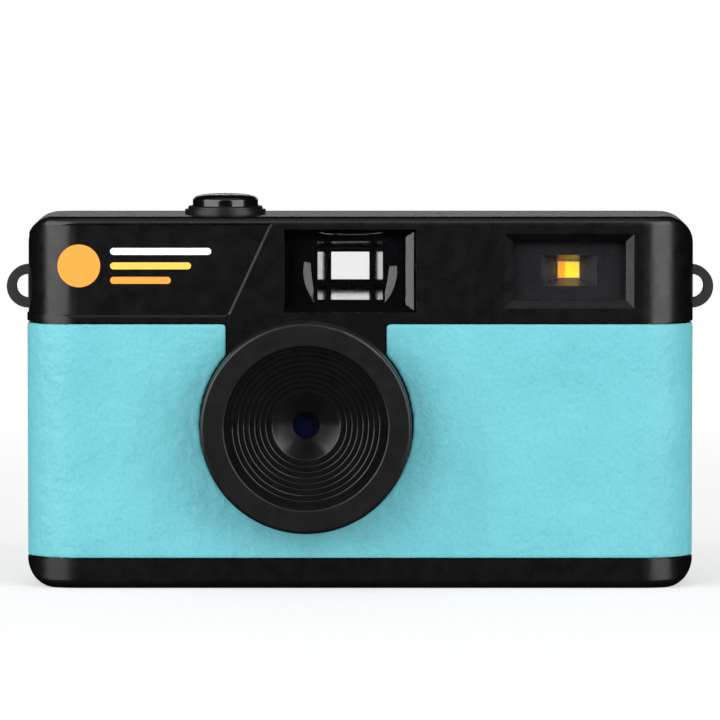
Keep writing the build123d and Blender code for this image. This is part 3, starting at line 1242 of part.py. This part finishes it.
lead_y = BOARD_FRONT - PLUG_SIZE[1] / 2
rear_lead_y = BOARD_BACK + PLUG_SIZE[1] / 2
plug_x = BOARD_RIGHT - 2 * POST_INSET - PLUG_SIZE[0] / 2
top_plug_z = BOARD_TOP - PLUG_SIZE[2] / 2 - TRAVEL_GAP
battery_plug_x = BOARD_RIGHT - PLUG_SIZE[2] / 2
battery_plug_z = LENS_Z - POST_RADIUS
buzzer_plug_x = BOARD_LEFT + PLUG_SIZE[2] / 2
shutter_lead_x = SHUTTER_X + POST_RADIUS
with BuildPart() as lead_plugs:
    # Upright plugs: flash and shutter on the front of the board, controls on the back
    block(facing_front(BOARD_FRONT), (plug_x, top_plug_z), PLUG_SIZE[::2], PLUG_SIZE[1])
    block(facing_front(BOARD_FRONT), (shutter_lead_x, top_plug_z), PLUG_SIZE[::2], PLUG_SIZE[1])
    block(facing_front(BOARD_BACK), (plug_x, top_plug_z), PLUG_SIZE[::2], -PLUG_SIZE[1])
    # Plugs lying on their sides: battery and buzzer
    side_plug = (PLUG_SIZE[2], PLUG_SIZE[0])
    block(facing_front(BOARD_FRONT), (battery_plug_x, battery_plug_z), side_plug, PLUG_SIZE[1])
    block(facing_front(BOARD_FRONT), (buzzer_plug_x, buzzer_z), side_plug, PLUG_SIZE[1])
    # Ribbon connector
    ribbon_plug_z = connector_top - RIBBON_CONNECTOR[2] / 2
    ribbon_plug = (RIBBON_CONNECTOR[0], RIBBON_CONNECTOR[2])
    block(facing_front(BOARD_BACK), (ribbon_x, ribbon_plug_z), ribbon_plug, -RIBBON_CONNECTOR[1])
lead_plugs.part.label = "lead_plugs"
export_step(lead_plugs.part, "parts/lead_plugs.step")

gutter_z = (BOARD_TOP + HOUSING_Z - tunnel_size[1] / 2) / 2
plug_top = top_plug_z + PLUG_SIZE[2] / 2
battery_y = battery_front + BATTERY_SIZE[1] / 2
battery_gap_x = (BOARD_RIGHT + BATTERY_LEFT) / 2

with BuildPart() as battery_leads:
    battery_lead_route = [
        (BATTERY_LEFT + 2 * BATTERY_TO_BOARD, battery_y, BATTERY_TOP),
        (BATTERY_LEFT + 2 * BATTERY_TO_BOARD, battery_y, BATTERY_TOP + BATTERY_TO_BOARD),
        (battery_gap_x, battery_y, BATTERY_TOP + BATTERY_TO_BOARD),
        (battery_gap_x, lead_y, battery_plug_z),
        (BOARD_RIGHT, lead_y, battery_plug_z),
    ]
    lead_pair(battery_lead_route, beside=(0, 1, 0))
battery_leads.part.label = "battery_leads"
export_step(battery_leads.part, "parts/battery_leads.step")

with BuildPart() as flash_lead:
    flash_lead_x = FLASH_X - FLASH_LEAD_OFFSET
    flash_lead_route = [
        (flash_lead_x, flash_board_back, HOUSING_Z),
        (flash_lead_x, lead_y, HOUSING_Z),
        (flash_lead_x - 2 * POST_INSET, lead_y, gutter_z),
        (plug_x, lead_y, gutter_z),
        (plug_x, lead_y, plug_top),
    ]
    lead(flash_lead_route, SHEATH_RADIUS)
flash_lead.part.label = "flash_lead"
export_step(flash_lead.part, "parts/flash_lead.step")

with BuildPart() as control_lead:
    control_lead_x = indicator_x + POST_INSET
    control_lead_route = [
        (control_lead_x, control_board_front, HOUSING_Z),
        (control_lead_x, rear_lead_y, HOUSING_Z),
        (control_lead_x - 2 * POST_INSET, rear_lead_y, gutter_z),
        (plug_x, rear_lead_y, gutter_z),
        (plug_x, rear_lead_y, plug_top),
    ]
    lead(control_lead_route, SHEATH_RADIUS)
control_lead.part.label = "control_lead"
export_step(control_lead.part, "parts/control_lead.step")

with BuildPart() as shutter_leads:
    shutter_lead_route = [
        (shutter_lead_x, SEAM, shelf_top),
        (shutter_lead_x, SEAM, gutter_z + LEAD_BEND),
        (shutter_lead_x, lead_y, gutter_z - LEAD_BEND),
        (shutter_lead_x, lead_y, plug_top),
    ]
    lead_pair(shutter_lead_route, beside=(1, 0, 0))
shutter_leads.part.label = "shutter_leads"
export_step(shutter_leads.part, "parts/shutter_leads.step")

with BuildPart() as buzzer_leads:
    buzzer_lead_route = [
        (BUZZER_X, FRONT_INNER + BUZZER_THICKNESS, buzzer_z),
        (BUZZER_X, lead_y, buzzer_z),
        (BOARD_LEFT, lead_y, buzzer_z),
    ]
    lead_pair(buzzer_lead_route, beside=(0, 0, 1))
buzzer_leads.part.label = "buzzer_leads"
export_step(buzzer_leads.part, "parts/buzzer_leads.step")
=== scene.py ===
"""A small point-and-shoot camera in the half-frame style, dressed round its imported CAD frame.

Everything is in metres in the frame's own axes: +X to the right of someone facing the lens, -Y out of the
lens and +Z up. Lengths that are easier to read in millimetres are given times MM.
"""
import math

import bmesh
import bpy
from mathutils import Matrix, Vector, noise


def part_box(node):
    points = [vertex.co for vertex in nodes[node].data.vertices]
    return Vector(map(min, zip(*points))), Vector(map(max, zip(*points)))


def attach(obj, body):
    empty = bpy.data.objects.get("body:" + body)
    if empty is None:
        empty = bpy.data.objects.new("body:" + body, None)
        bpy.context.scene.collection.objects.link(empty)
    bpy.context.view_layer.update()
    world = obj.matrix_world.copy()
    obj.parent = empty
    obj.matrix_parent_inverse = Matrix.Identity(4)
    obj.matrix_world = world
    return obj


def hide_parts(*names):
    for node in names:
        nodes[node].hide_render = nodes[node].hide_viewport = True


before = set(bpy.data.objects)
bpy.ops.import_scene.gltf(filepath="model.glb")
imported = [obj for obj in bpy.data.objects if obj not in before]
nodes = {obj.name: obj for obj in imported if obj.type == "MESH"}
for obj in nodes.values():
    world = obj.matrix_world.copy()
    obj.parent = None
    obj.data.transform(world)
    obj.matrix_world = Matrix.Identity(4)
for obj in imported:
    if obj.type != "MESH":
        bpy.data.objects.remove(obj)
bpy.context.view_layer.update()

MM = 0.001

# ---------------------------------------------------------------- colours, as linear values

BLACK = (0.0024, 0.0024, 0.0029)
BARREL_BLACK = (0.0034, 0.0034, 0.0040)
INNER_BLACK = (0.0040, 0.0040, 0.0046)
GLOSS_BLACK = (0.003, 0.003, 0.0036)
TEAL = (0.122, 0.445, 0.495)
# dark end of the leatherette's colour: its dye drift and the painted shade in its creases
TEAL_SHADE = (0.088, 0.365, 0.415)
ORANGE = (0.82, 0.30, 0.03)
AMBER = (0.85, 0.50, 0.07)
WHITE_INK = (0.83, 0.83, 0.85)

# ---------------------------------------------------------------- node helpers


def new_finish(name, **values):
    """A node material, its tree and its Principled shader, with values that are alike all over set on it."""
    material = bpy.data.materials.new(name)
    material.use_nodes = True
    shader = material.node_tree.nodes["Principled BSDF"]
    for socket, value in values.items():
        shader.inputs[socket.replace("_", " ")].default_value = value
    return material, material.node_tree, shader


def add_node(tree, kind, inputs=None, **settings):
    """One more node, with its settings made and its inputs filled or linked."""
    node = tree.nodes.new(kind)
    for name, value in settings.items():
        setattr(node, name, value)
    for socket, value in (inputs or {}).items():
        if isinstance(value, bpy.types.NodeSocket):
            tree.links.new(value, node.inputs[socket])
        else:
            node.inputs[socket].default_value = value
    return node


def place(tree, stretch=(1, 1, 1)):
    """The point on the piece, in metres, stretched along its axes."""
    coordinates = add_node(tree, "ShaderNodeTexCoord")
    mapping = add_node(tree, "ShaderNodeMapping", {"Vector": coordinates.outputs["Object"], "Scale": stretch})
    return mapping.outputs["Vector"]


def grain(tree, size, detail=2.0, stretch=(1, 1, 1)):
    """Cloudy noise whose features are about size metres across, from 0 to 1."""
    inputs = {"Vector": place(tree, stretch), "Scale": 1 / size, "Detail": detail}
    return add_node(tree, "ShaderNodeTexNoise", inputs).outputs["Fac"]


def cells(tree, size, feature="SMOOTH_F1"):
    """Distance to the nearest of many scattered points that are about size metres apart."""
    inputs = {"Vector": place(tree), "Scale": 1 / size}
    return add_node(tree, "ShaderNodeTexVoronoi", inputs, feature=feature).outputs["Distance"]


def between(tree, factor, low, high, start=0.3, end=0.7):
    """A number that runs from low to high as factor runs from start to end."""
    inputs = {"Value": factor, "From Min": start, "From Max": end, "To Min": low, "To Max": high}
    return add_node(tree, "ShaderNodeMapRange", inputs).outputs["Result"]


def shade(colour, by):
    """A colour times a number, with full alpha."""
    return (*(min(1.0, part * by) for part in colour), 1.0)


def two_tone(tree, factor, first, second, start=0.3, end=0.7):
    """A colour that runs from first to second as factor runs from start to end."""
    ramp = add_node(tree, "ShaderNodeValToRGB", {"Fac": factor})
    for element, position, colour in zip(ramp.color_ramp.elements, (start, end), (first, second)):
        element.position = position
        element.color = colour
    return ramp.outputs["Color"]


def relief(tree, shader, *layers):
    """Stacks bump layers, each (height, strength, depth in metres), on the shader."""
    normal = None
    for height, strength, depth in layers:
        inputs = {"Height": height, "Strength": strength, "Distance": depth}
        if normal is not None:
            inputs["Normal"] = normal
        normal = add_node(tree, "ShaderNodeBump", inputs).outputs["Normal"]
    tree.links.new(normal, shader.inputs["Normal"])


def set_look(tree, shader, colour, roughness):
    """Links the base colour and the roughness."""
    tree.links.new(colour, shader.inputs["Base Color"])
    tree.links.new(roughness, shader.inputs["Roughness"])


# ---------------------------------------------------------------- finishes


def moulded(name, colour, roughness=0.42, spark=0.22 * MM, depth=0.006 * MM):
    """Moulded plastic with a spark-eroded skin: fine grain, drifting tone, handling marks in its gloss."""
    material, tree, shader = new_finish(name)
    drift = grain(tree, 9 * MM, 3)
    handled = grain(tree, 2.6 * MM, 4)
    tone = two_tone(tree, drift, shade(colour, 0.86), shade(colour, 1.16))
    set_look(tree, shader, tone, between(tree, handled, roughness - 0.035, roughness + 0.045))
    relief(tree, shader, (grain(tree, spark, 1), 0.5, depth), (grain(tree, 14 * MM), 0.25, 0.02 * MM))
    return material


def glossy(name, colour, roughness=0.16):
    """Polished plastic with hairline scratches."""
    material, tree, shader = new_finish(name, Coat_Weight=0.35, Coat_Roughness=0.08)
    scratches = grain(tree, 0.5 * MM, 3, stretch=(1, 9, 1))
    tone = two_tone(tree, grain(tree, 5 * MM), shade(colour, 0.85), shade(colour, 1.2))
    set_look(tree, shader, tone, between(tree, scratches, roughness - 0.04, roughness + 0.06))
    relief(tree, shader, (scratches, 0.12, 0.004 * MM))
    return material


def leather(name, light, dark):
    """Coated leatherette: pebbles with painted shade darkening their creases, a little sheen, and a slow
    drift in dye.
    """
    material, tree, shader = new_finish(name, Sheen_Weight=0.08, Sheen_Roughness=0.4)
    pebbles = cells(tree, 0.55 * MM)
    pores = grain(tree, 0.16 * MM, 2)
    dye = grain(tree, 11 * MM, 3)
    # painted shade: the creases between the pebbles are darkened in the colour, on top of the real drift in
    # dye
    painted_crease_shade_and_dye = add_node(tree, "ShaderNodeMath", {0: between(tree, pebbles, 0.0, 0.5, 0.2, 0.9),
                                              1: between(tree, dye, 0.0, 0.5)}, operation="ADD")
    tone = two_tone(tree, painted_crease_shade_and_dye.outputs[0], shade(light, 1.0), shade(dark, 1.0), 0.1, 0.95)
    set_look(tree, shader, tone, between(tree, pores, 0.42, 0.56))
    wrinkles = grain(tree, 2.2 * MM, 4)
    relief(tree, shader, (wrinkles, 0.8, 0.45 * MM), (pebbles, 0.4, -0.06 * MM), (pores, 0.3, 0.012 * MM))
    return material


def let_light_through(tree, shader, tint):
    """Lamps shine through the piece, as they would through a thin pane, and so reach what lies behind it."""
    path = add_node(tree, "ShaderNodeLightPath")
    open_pane = add_node(tree, "ShaderNodeBsdfTransparent", {"Color": (*tint, 1)})
    inputs = {0: path.outputs["Is Shadow Ray"], 1: shader.outputs[0], 2: open_pane.outputs[0]}
    mix = add_node(tree, "ShaderNodeMixShader", inputs)
    tree.links.new(mix.outputs[0], tree.nodes["Material Output"].inputs["Surface"])


def clear(name, tint=(1, 1, 1), ior=1.49, roughness=0.0):
    """Clear moulded plastic or glass, with faint wiping marks in its polish."""
    material, tree, shader = new_finish(name, Transmission_Weight=1.0, IOR=ior)
    smears = grain(tree, 3 * MM, 4, stretch=(1, 1, 3))
    tone = two_tone(tree, smears, shade(tint, 0.985), shade(tint, 1.0))
    set_look(tree, shader, tone, between(tree, smears, roughness, roughness + 0.015))
    let_light_through(tree, shader, tint)
    return material


def coated_glass_painted_dark(name):
    """Lens glass that looks dark navy: its anti-reflection coating lets little but blue come back, and its
    opaque dark navy base is painted shade for the dark inside of the lens.
    """
    material, tree, shader = new_finish(name, IOR=1.4, Specular_Tint=(0.3, 0.45, 1.0, 1))
    bloom = grain(tree, 1.5 * MM, 3)
    # painted shade: an opaque dark navy base stands for the shaded inside of the lens that would show through
    # clear glass
    tone = two_tone(tree, bloom, (0.002, 0.0035, 0.016, 1), (0.003, 0.005, 0.024, 1))
    set_look(tree, shader, tone, between(tree, bloom, 0.01, 0.03))
    return material


def metal(name, colour, roughness):
    """Turned or drawn metal, with fine lines along it and dull patches."""
    material, tree, shader = new_finish(name, Metallic=1.0)
    lines = grain(tree, 0.35 * MM, 3, stretch=(1, 1, 8))
    dull = grain(tree, 1.8 * MM, 3)
    tone = two_tone(tree, dull, shade(colour, 0.8), shade(colour, 1.1))
    set_look(tree, shader, tone, between(tree, lines, roughness - 0.08, roughness + 0.12))
    relief(tree, shader, (lines, 0.3, 0.01 * MM))
    return material


def circuit(name):
    """Green solder mask with the traces showing through it."""
    material, tree, shader = new_finish(name, Coat_Weight=0.3)
    traces = cells(tree, 1.6 * MM, "DISTANCE_TO_EDGE")
    tone = two_tone(tree, traces, (0.03, 0.2, 0.07, 1), (0.008, 0.075, 0.03, 1), 0.05, 0.09)
    set_look(tree, shader, tone, between(tree, grain(tree, 2 * MM), 0.28, 0.42))
    relief(tree, shader, (traces, 0.3, -0.02 * MM))
    return material


def foil(name, colour):
    """Thin wrinkled foil or tape."""
    material, tree, shader = new_finish(name, Metallic=0.6)
    wrinkles = grain(tree, 4 * MM, 5)
    tone = two_tone(tree, wrinkles, shade(colour, 0.85), shade(colour, 1.1))
    set_look(tree, shader, tone, between(tree, wrinkles, 0.3, 0.45))
    relief(tree, shader, (wrinkles, 0.4, 0.15 * MM))
    return material


def ink(name, colour):
    """Pad-printed ink, a little uneven where it took."""
    material, tree, shader = new_finish(name)
    cover = grain(tree, 0.5 * MM, 3)
    tone = two_tone(tree, cover, shade(colour, 0.93), shade(colour, 1.0))
    set_look(tree, shader, tone, between(tree, cover, 0.42, 0.55))
    relief(tree, shader, (cover, 0.15, 0.005 * MM))
    return material


# painted glow: the phosphor emits light of its own colour, though the flash is not firing
PAINTED_PHOSPHOR_GLOW = 0.6
WARM_PHOSPHOR = (1.0, 0.34, 0.01, 1)
COOL_PHOSPHOR = (1.0, 0.66, 0.02, 1)
PHOSPHOR_SPLIT = (0.28, 0.38)


def phosphor(name, node):
    """Two phosphors side by side under silicone: warm on the left third, cool on the rest, with a painted
    glow from emission though the flash is not lit.
    """
    material, tree, shader = new_finish(name, Coat_Weight=0.6, Coat_Roughness=0.1)
    low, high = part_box(node)
    along = add_node(tree, "ShaderNodeSeparateXYZ", {"Vector": place(tree)}).outputs["X"]
    step = between(tree, along, 0.0, 1.0, low.x, high.x)
    speckle = between(tree, grain(tree, 0.2 * MM, 2), -0.03, 0.03)
    edge = add_node(tree, "ShaderNodeMath", {0: step, 1: speckle}, operation="ADD").outputs[0]
    tone = two_tone(tree, edge, WARM_PHOSPHOR, COOL_PHOSPHOR, *PHOSPHOR_SPLIT)
    set_look(tree, shader, tone, between(tree, grain(tree, 0.3 * MM), 0.3, 0.45))
    # painted glow: the phosphor's colour is also sent out as emission
    tree.links.new(tone, shader.inputs["Emission Color"])
    shader.inputs["Emission Strength"].default_value = PAINTED_PHOSPHOR_GLOW
    return material


FINISHES = {
    "body": moulded("body_plastic_finish", BLACK, 0.28),
    "barrel": moulded("barrel_plastic_finish", BARREL_BLACK, 0.36, 0.18 * MM),
    "baffle": moulded("baffle_plastic_finish", INNER_BLACK, 0.22, 0.15 * MM, 0.0015 * MM),
    "tunnel": glossy("tunnel_plastic_finish", GLOSS_BLACK, 0.12),
    "inner": moulded("inner_plastic_finish", INNER_BLACK, 0.38, 0.3 * MM),
    "loop": moulded("strap_loop_finish", (0.02, 0.02, 0.024), 0.5, 0.3 * MM),
    "button": glossy("button_gloss_finish", GLOSS_BLACK),
    "leather": leather("leatherette_finish", TEAL, TEAL_SHADE),
    "clear": clear("clear_plastic_finish", (1, 1, 1), 1.49),
    "glass": clear("lens_glass_finish", (0.93, 0.97, 1.0), 1.52),
    "coated": coated_glass_painted_dark("coated_lens_painted_dark_finish"),
    "smoked": clear("smoked_window_finish", (0.5, 0.5, 0.53), 1.49),
    "reflector": moulded("flash_reflector_finish", (0.022, 0.022, 0.026), 0.28, 0.3 * MM, 0.003 * MM),
    "ceramic": moulded("led_ceramic_finish", (0.62, 0.6, 0.55), 0.5, 0.2 * MM),
    "phosphor": phosphor("phosphor_finish", "flash_phosphor"),
    "circuit": circuit("circuit_board_finish"),
    "chip": moulded("chip_epoxy_finish", (0.02, 0.02, 0.02), 0.5, 0.12 * MM),
    "sensor": moulded("sensor_cover_finish", (0.02, 0.05, 0.06), 0.12, 0.5 * MM),
    "filter": clear("infrared_filter_finish", (0.45, 0.85, 0.95), 1.52),
    "steel": metal("steel_finish", (0.56, 0.57, 0.58), 0.3),
    "foil": foil("battery_foil_finish", (0.6, 0.61, 0.62)),
    "tape": foil("tape_finish", (0.75, 0.35, 0.05)),
    "lead": moulded("lead_insulation_finish", (0.35, 0.012, 0.01), 0.4, 0.4 * MM),
    "plug": moulded("plug_plastic_finish", (0.75, 0.7, 0.6), 0.45, 0.3 * MM),
    "lcd": moulded("lcd_face_finish", (0.30, 0.34, 0.27), 0.35, 0.2 * MM, 0.002 * MM),
    "light_pipe": clear("light_pipe_finish", (1.0, 0.75, 0.6), 1.49, 0.05),
    "white_ink": ink("white_ink_finish", WHITE_INK),
    "orange_ink": ink("orange_ink_finish", ORANGE),
    "amber_ink": ink("amber_ink_finish", AMBER),
}

NODE_FINISHES = {
    "body": ("front_cover", "rear_cover", "card_door", "flash_switch_knob", "eyepiece_frame"),
    "barrel": ("lens_barrel",),
    "baffle": ("lens_baffle",),
    "tunnel": ("viewfinder_tunnel",),
    "inner": ("lens_cell", "lens_holder", "aperture_stop", "slide_switch_body", "shutter_collar"),
    "loop": ("strap_loop_left", "strap_loop_right"),
    "button": ("shutter_button", "slide_switch_actuator"),
    "clear": ("viewfinder_window", "eyepiece_lens", "flash_pane"),
    "glass": ("lens_pane", "rear_element"),
    "coated": ("front_element",),
    "smoked": ("lcd_pane",),
    "reflector": ("flash_reflector",),
    "ceramic": ("flash_led", "indicator_led"),
    "phosphor": ("flash_phosphor",),
    "circuit": ("main_board", "control_board", "flash_board", "shutter_board"),
    "chip": ("board_chips", "memory_card", "switch_plunger", "shutter_switch", "buzzer"),
    "sensor": ("image_sensor",),
    "filter": ("infrared_filter",),
    "steel": ("case_screws", "inner_screws", "card_door_screw", "card_socket", "usb_c_socket", "shutter_clip",
              "shutter_spring"),
    "foil": ("battery_cell",),
    "tape": ("battery_tape", "lcd_ribbon"),
    "lead": ("battery_leads", "buzzer_leads", "shutter_leads", "flash_lead", "control_lead"),
    "plug": ("lead_plugs",),
    "lcd": ("lcd_module",),
    "light_pipe": ("indicator_light_pipe",),
    "leather": ("front_leatherette", "rear_leatherette"),
}


def dress_nodes():
    """Gives every CAD node its finish."""
    for finish, names in NODE_FINISHES.items():
        for name in names:
            nodes[name].data.materials.clear()
            nodes[name].data.materials.append(FINISHES[finish])


# ---------------------------------------------------------------- pieces


def add_piece(name, mesh, finish, body="body"):
    """Puts a mesh in the scene as a piece that rides on a body."""
    piece = bpy.data.objects.new(name, mesh)
    bpy.context.scene.collection.objects.link(piece)
    mesh.materials.clear()
    mesh.materials.append(FINISHES[finish])
    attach(piece, body)
    return piece


SKIN_VOXEL = 0.36 * MM
PEBBLE = 0.9 * MM
PEBBLE_HEIGHT = 0.035 * MM
PEBBLE_STEEPNESS = 1.8


def even_mesh(source):
    """A copy of a mesh, cut into even quads."""
    lump = bpy.data.objects.new("lump", source.data.copy())
    bpy.context.scene.collection.objects.link(lump)
    remesh = lump.modifiers.new("even", "REMESH")
    remesh.mode = "VOXEL"
    remesh.voxel_size = SKIN_VOXEL
    remesh.use_smooth_shade = True
    bpy.context.view_layer.update()
    evaluated = lump.evaluated_get(bpy.context.evaluated_depsgraph_get())
    mesh = bpy.data.meshes.new_from_object(evaluated)
    bpy.data.objects.remove(lump)
    return mesh


def pebble_height(point):
    """The grain's height over the creases, from 0 to 1."""
    near, second = noise.voronoi(point / PEBBLE)[0][:2]
    return min(1.0, (second - near) * PEBBLE_STEEPNESS)


def emboss(mesh):
    """Presses the pebble grain into the skin."""
    for vertex, normal in [(v, v.normal.copy()) for v in mesh.vertices]:
        depth = PEBBLE_HEIGHT * (1 - pebble_height(vertex.co))
        vertex.co -= normal * depth


def leatherette(node):
    """The skin of one cover, as an even mesh with its grain pressed in, in place of the plain CAD skin."""
    mesh = even_mesh(nodes[node])
    emboss(mesh)
    piece = add_piece(node + "_grained", mesh, "leather")
    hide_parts(node)


# ---------------------------------------------------------------- prints

INK = 0.02 * MM
RAY_START = 0.1


def surface_y(node, x, z, side):
    """Where a line along Y meets a node, coming from the front (side -1) or from the back (side 1)."""
    origin = Vector((x, side * RAY_START, z))
    hit, point, _, _ = nodes[node].ray_cast(origin, Vector((0, -side, 0)))
    if not hit:
        raise ValueError(f"no surface of {node} at {x}, {z}")
    return point.y


def bar_outline(length, height, steps=8):
    """A bar with round ends, about the origin."""
    radius = height / 2
    reach = length / 2 - radius
    ends = [(reach, -90), (-reach, 90)]
    turns = [(centre, start + 180 * step / steps) for centre, start in ends for step in range(steps + 1)]
    return [(x + radius * math.cos(math.radians(a)), radius * math.sin(math.radians(a))) for x, a in turns]


def disc_outline(radius, steps=48):
    """A disc about the origin."""
    turns = [math.tau * step / steps for step in range(steps)]
    return [(radius * math.cos(turn), radius * math.sin(turn)) for turn in turns]


def add_print(name, outlines, y, side, finish, body="body"):
    """Flat shapes of ink, each (outline, x, z), lying on a surface that faces side along Y."""
    work = bmesh.new()
    for outline, x, z in outlines:
        lower = [work.verts.new((x + u, y, z + v)) for u, v in outline]
        face = work.faces.new(lower)
        upper = bmesh.ops.extrude_face_region(work, geom=[face])
        raised = [part for part in upper["geom"] if isinstance(part, bmesh.types.BMVert)]
        bmesh.ops.translate(work, verts=raised, vec=(0, side * INK, 0))
    bmesh.ops.recalc_face_normals(work, faces=work.faces)
    mesh = bpy.data.meshes.new(name)
    work.to_mesh(mesh)
    work.free()
    return add_piece(name, mesh, finish, body)


BADGE_X = -39.4 * MM
BADGE_Z = 56.0 * MM
STRIPES = (("white_ink", 17.5, 2.5), ("amber_ink", 14.0, 0.0), ("orange_ink", 10.5, -2.5))
STRIPE_HEIGHT = 1.2 * MM
STRIPE_LEFT = -3.8 * MM
SUN_RADIUS = 3.7 * MM
SUN_X = -48.6 * MM


def badge_print():
    """Plain stripes beside a disc on the recessed panel."""
    y = surface_y("front_cover", BADGE_X, BADGE_Z, -1)
    add_print("badge_disc", [(disc_outline(SUN_RADIUS), SUN_X, BADGE_Z)], y, -1, "orange_ink")
    for finish, length, height in STRIPES:
        bar = bar_outline(length * MM, STRIPE_HEIGHT)
        x = BADGE_X + STRIPE_LEFT + length * MM / 2
        add_print("badge_" + finish, [(bar, x, BADGE_Z + height * MM)], y, -1, finish)


# ---------------------------------------------------------------- stage, lights and camera

FLOOR_RADIUS = 6.0
FADE = (0.04, 0.40)
GLOW_NEARBY = 0.5


def floor():
    """A pale floor that melts into the background away from the camera, and isn't mirrored in it."""
    work = bmesh.new()
    bmesh.ops.create_circle(work, cap_ends=True, segments=96, radius=FLOOR_RADIUS)
    mesh = bpy.data.meshes.new("floor")
    work.to_mesh(mesh)
    work.free()
    ground = bpy.data.objects.new("floor", mesh)
    bpy.context.scene.collection.objects.link(ground)
    ground.visible_glossy = False
    ground.visible_transmission = False
    material, tree, shader = new_finish("floor_paper")
    paper = grain(tree, 2 * MM, 3)
    set_look(tree, shader, two_tone(tree, paper, (0.86, 0.86, 0.87, 1), (0.9, 0.9, 0.9, 1)),
             between(tree, paper, 0.8, 0.9))
    reach = add_node(tree, "ShaderNodeVectorMath", {0: place(tree)}, operation="LENGTH").outputs["Value"]
    glow = add_node(tree, "ShaderNodeEmission", {"Strength": 1.0})
    fade = between(tree, reach, GLOW_NEARBY, 1.0, *FADE)
    mix = add_node(tree, "ShaderNodeMixShader", {0: fade, 1: shader.outputs[0], 2: glow.outputs[0]})
    tree.links.new(mix.outputs[0], tree.nodes["Material Output"].inputs["Surface"])
    mesh.materials.append(material)


FILL = 0.40                     # the world's strength on matt surfaces
DARK_SIDE = 0.03                # and before the camera, seen back through its clear parts


def studio_world():
    """White all round for the eye, white behind the camera and dark before it through clear parts.

    Matt surfaces get a softer fill, and glossy ones mirror the softboxes alone.
    """
    world = bpy.data.worlds.new("studio")
    bpy.context.scene.world = world
    world.use_nodes = True
    tree = world.node_tree
    path = add_node(tree, "ShaderNodeLightPath")
    way = add_node(tree, "ShaderNodeTexCoord").outputs["Generated"]
    backwards = add_node(tree, "ShaderNodeSeparateXYZ", {"Vector": way}).outputs["Y"]
    through = between(tree, backwards, DARK_SIDE, 1.0, -0.1, 0.1)
    bounced = between(tree, path.outputs["Is Transmission Ray"], FILL, through, 0.0, 1.0)
    strength = between(tree, path.outputs["Is Camera Ray"], bounced, 1.0, 0.0, 1.0)
    tree.links.new(strength, tree.nodes["Background"].inputs["Strength"])
    tree.nodes["Background"].inputs["Color"].default_value = (1, 1, 1, 1)
    world.cycles_visibility.glossy = False


AIM = Vector((0, 0, 0.034))

# name, azimuth from the front and height angle in degrees, distance, width and height in metres, watts
SOFTBOXES = (
    ("left_softbox", -52, 20, 0.9, 1.0, 0.85, 9.6),
    ("right_softbox", 46, 18, 0.9, 0.75, 0.85, 7.2),
    ("front_top_softbox", 0, 50, 0.9, 0.8, 0.16, 0.9),
    ("overhead_softbox", 0, 82, 0.9, 0.9, 0.3, 0.5),
    ("back_strip", 180, 12, 0.9, 0.9, 0.10, 0.3),
)


def softboxes():
    """Area lights round the camera, each aimed at its middle and hidden from the eye."""
    for name, azimuth, lift, distance, width, height, watts in SOFTBOXES:
        data = bpy.data.lights.new(name, "AREA")
        data.shape = "RECTANGLE"
        data.size = width
        data.size_y = height
        data.energy = watts
        lamp = bpy.data.objects.new(name, data)
        bpy.context.scene.collection.objects.link(lamp)
        turn, rise = math.radians(azimuth), math.radians(lift)
        way = Vector((math.sin(turn) * math.cos(rise), -math.cos(turn) * math.cos(rise), math.sin(rise)))
        lamp.location = AIM + way * distance
        lamp.rotation_euler = way.to_track_quat("Z", "Y").to_euler()
        lamp.visible_camera = False


CAMERA_DISTANCE = 1.2
CAMERA_RISE = 4.0               # degrees
VIEW_WIDTH = 0.12457            # what the frame takes in at the front cover
SENSOR_WIDTH = 36.0
AIM_HEIGHT = 0.0322
NEAREST = 0.01
FRAME_SHIFT = 0.0603


def camera():
    """Straight in front and a little above, as far off as a product shot is taken from."""
    data = bpy.data.cameras.new("camera")
    eye = bpy.data.objects.new("camera", data)
    bpy.context.scene.collection.objects.link(eye)
    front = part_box("front_cover")[0].y
    target = Vector((0, front, AIM_HEIGHT))
    rise = math.radians(CAMERA_RISE)
    way = Vector((0, -math.cos(rise), math.sin(rise)))
    eye.location = target + way * CAMERA_DISTANCE
    eye.rotation_euler = way.to_track_quat("Z", "Y").to_euler()
    data.sensor_width = SENSOR_WIDTH
    data.lens = SENSOR_WIDTH * CAMERA_DISTANCE / VIEW_WIDTH
    data.shift_y = FRAME_SHIFT
    data.clip_start = NEAREST
    bpy.context.scene.camera = eye


dress_nodes()
for skin in ("front_leatherette", "rear_leatherette"):
    leatherette(skin)
badge_print()
floor()
studio_world()
softboxes()
camera()
bpy.context.scene.view_settings.view_transform = "Standard"
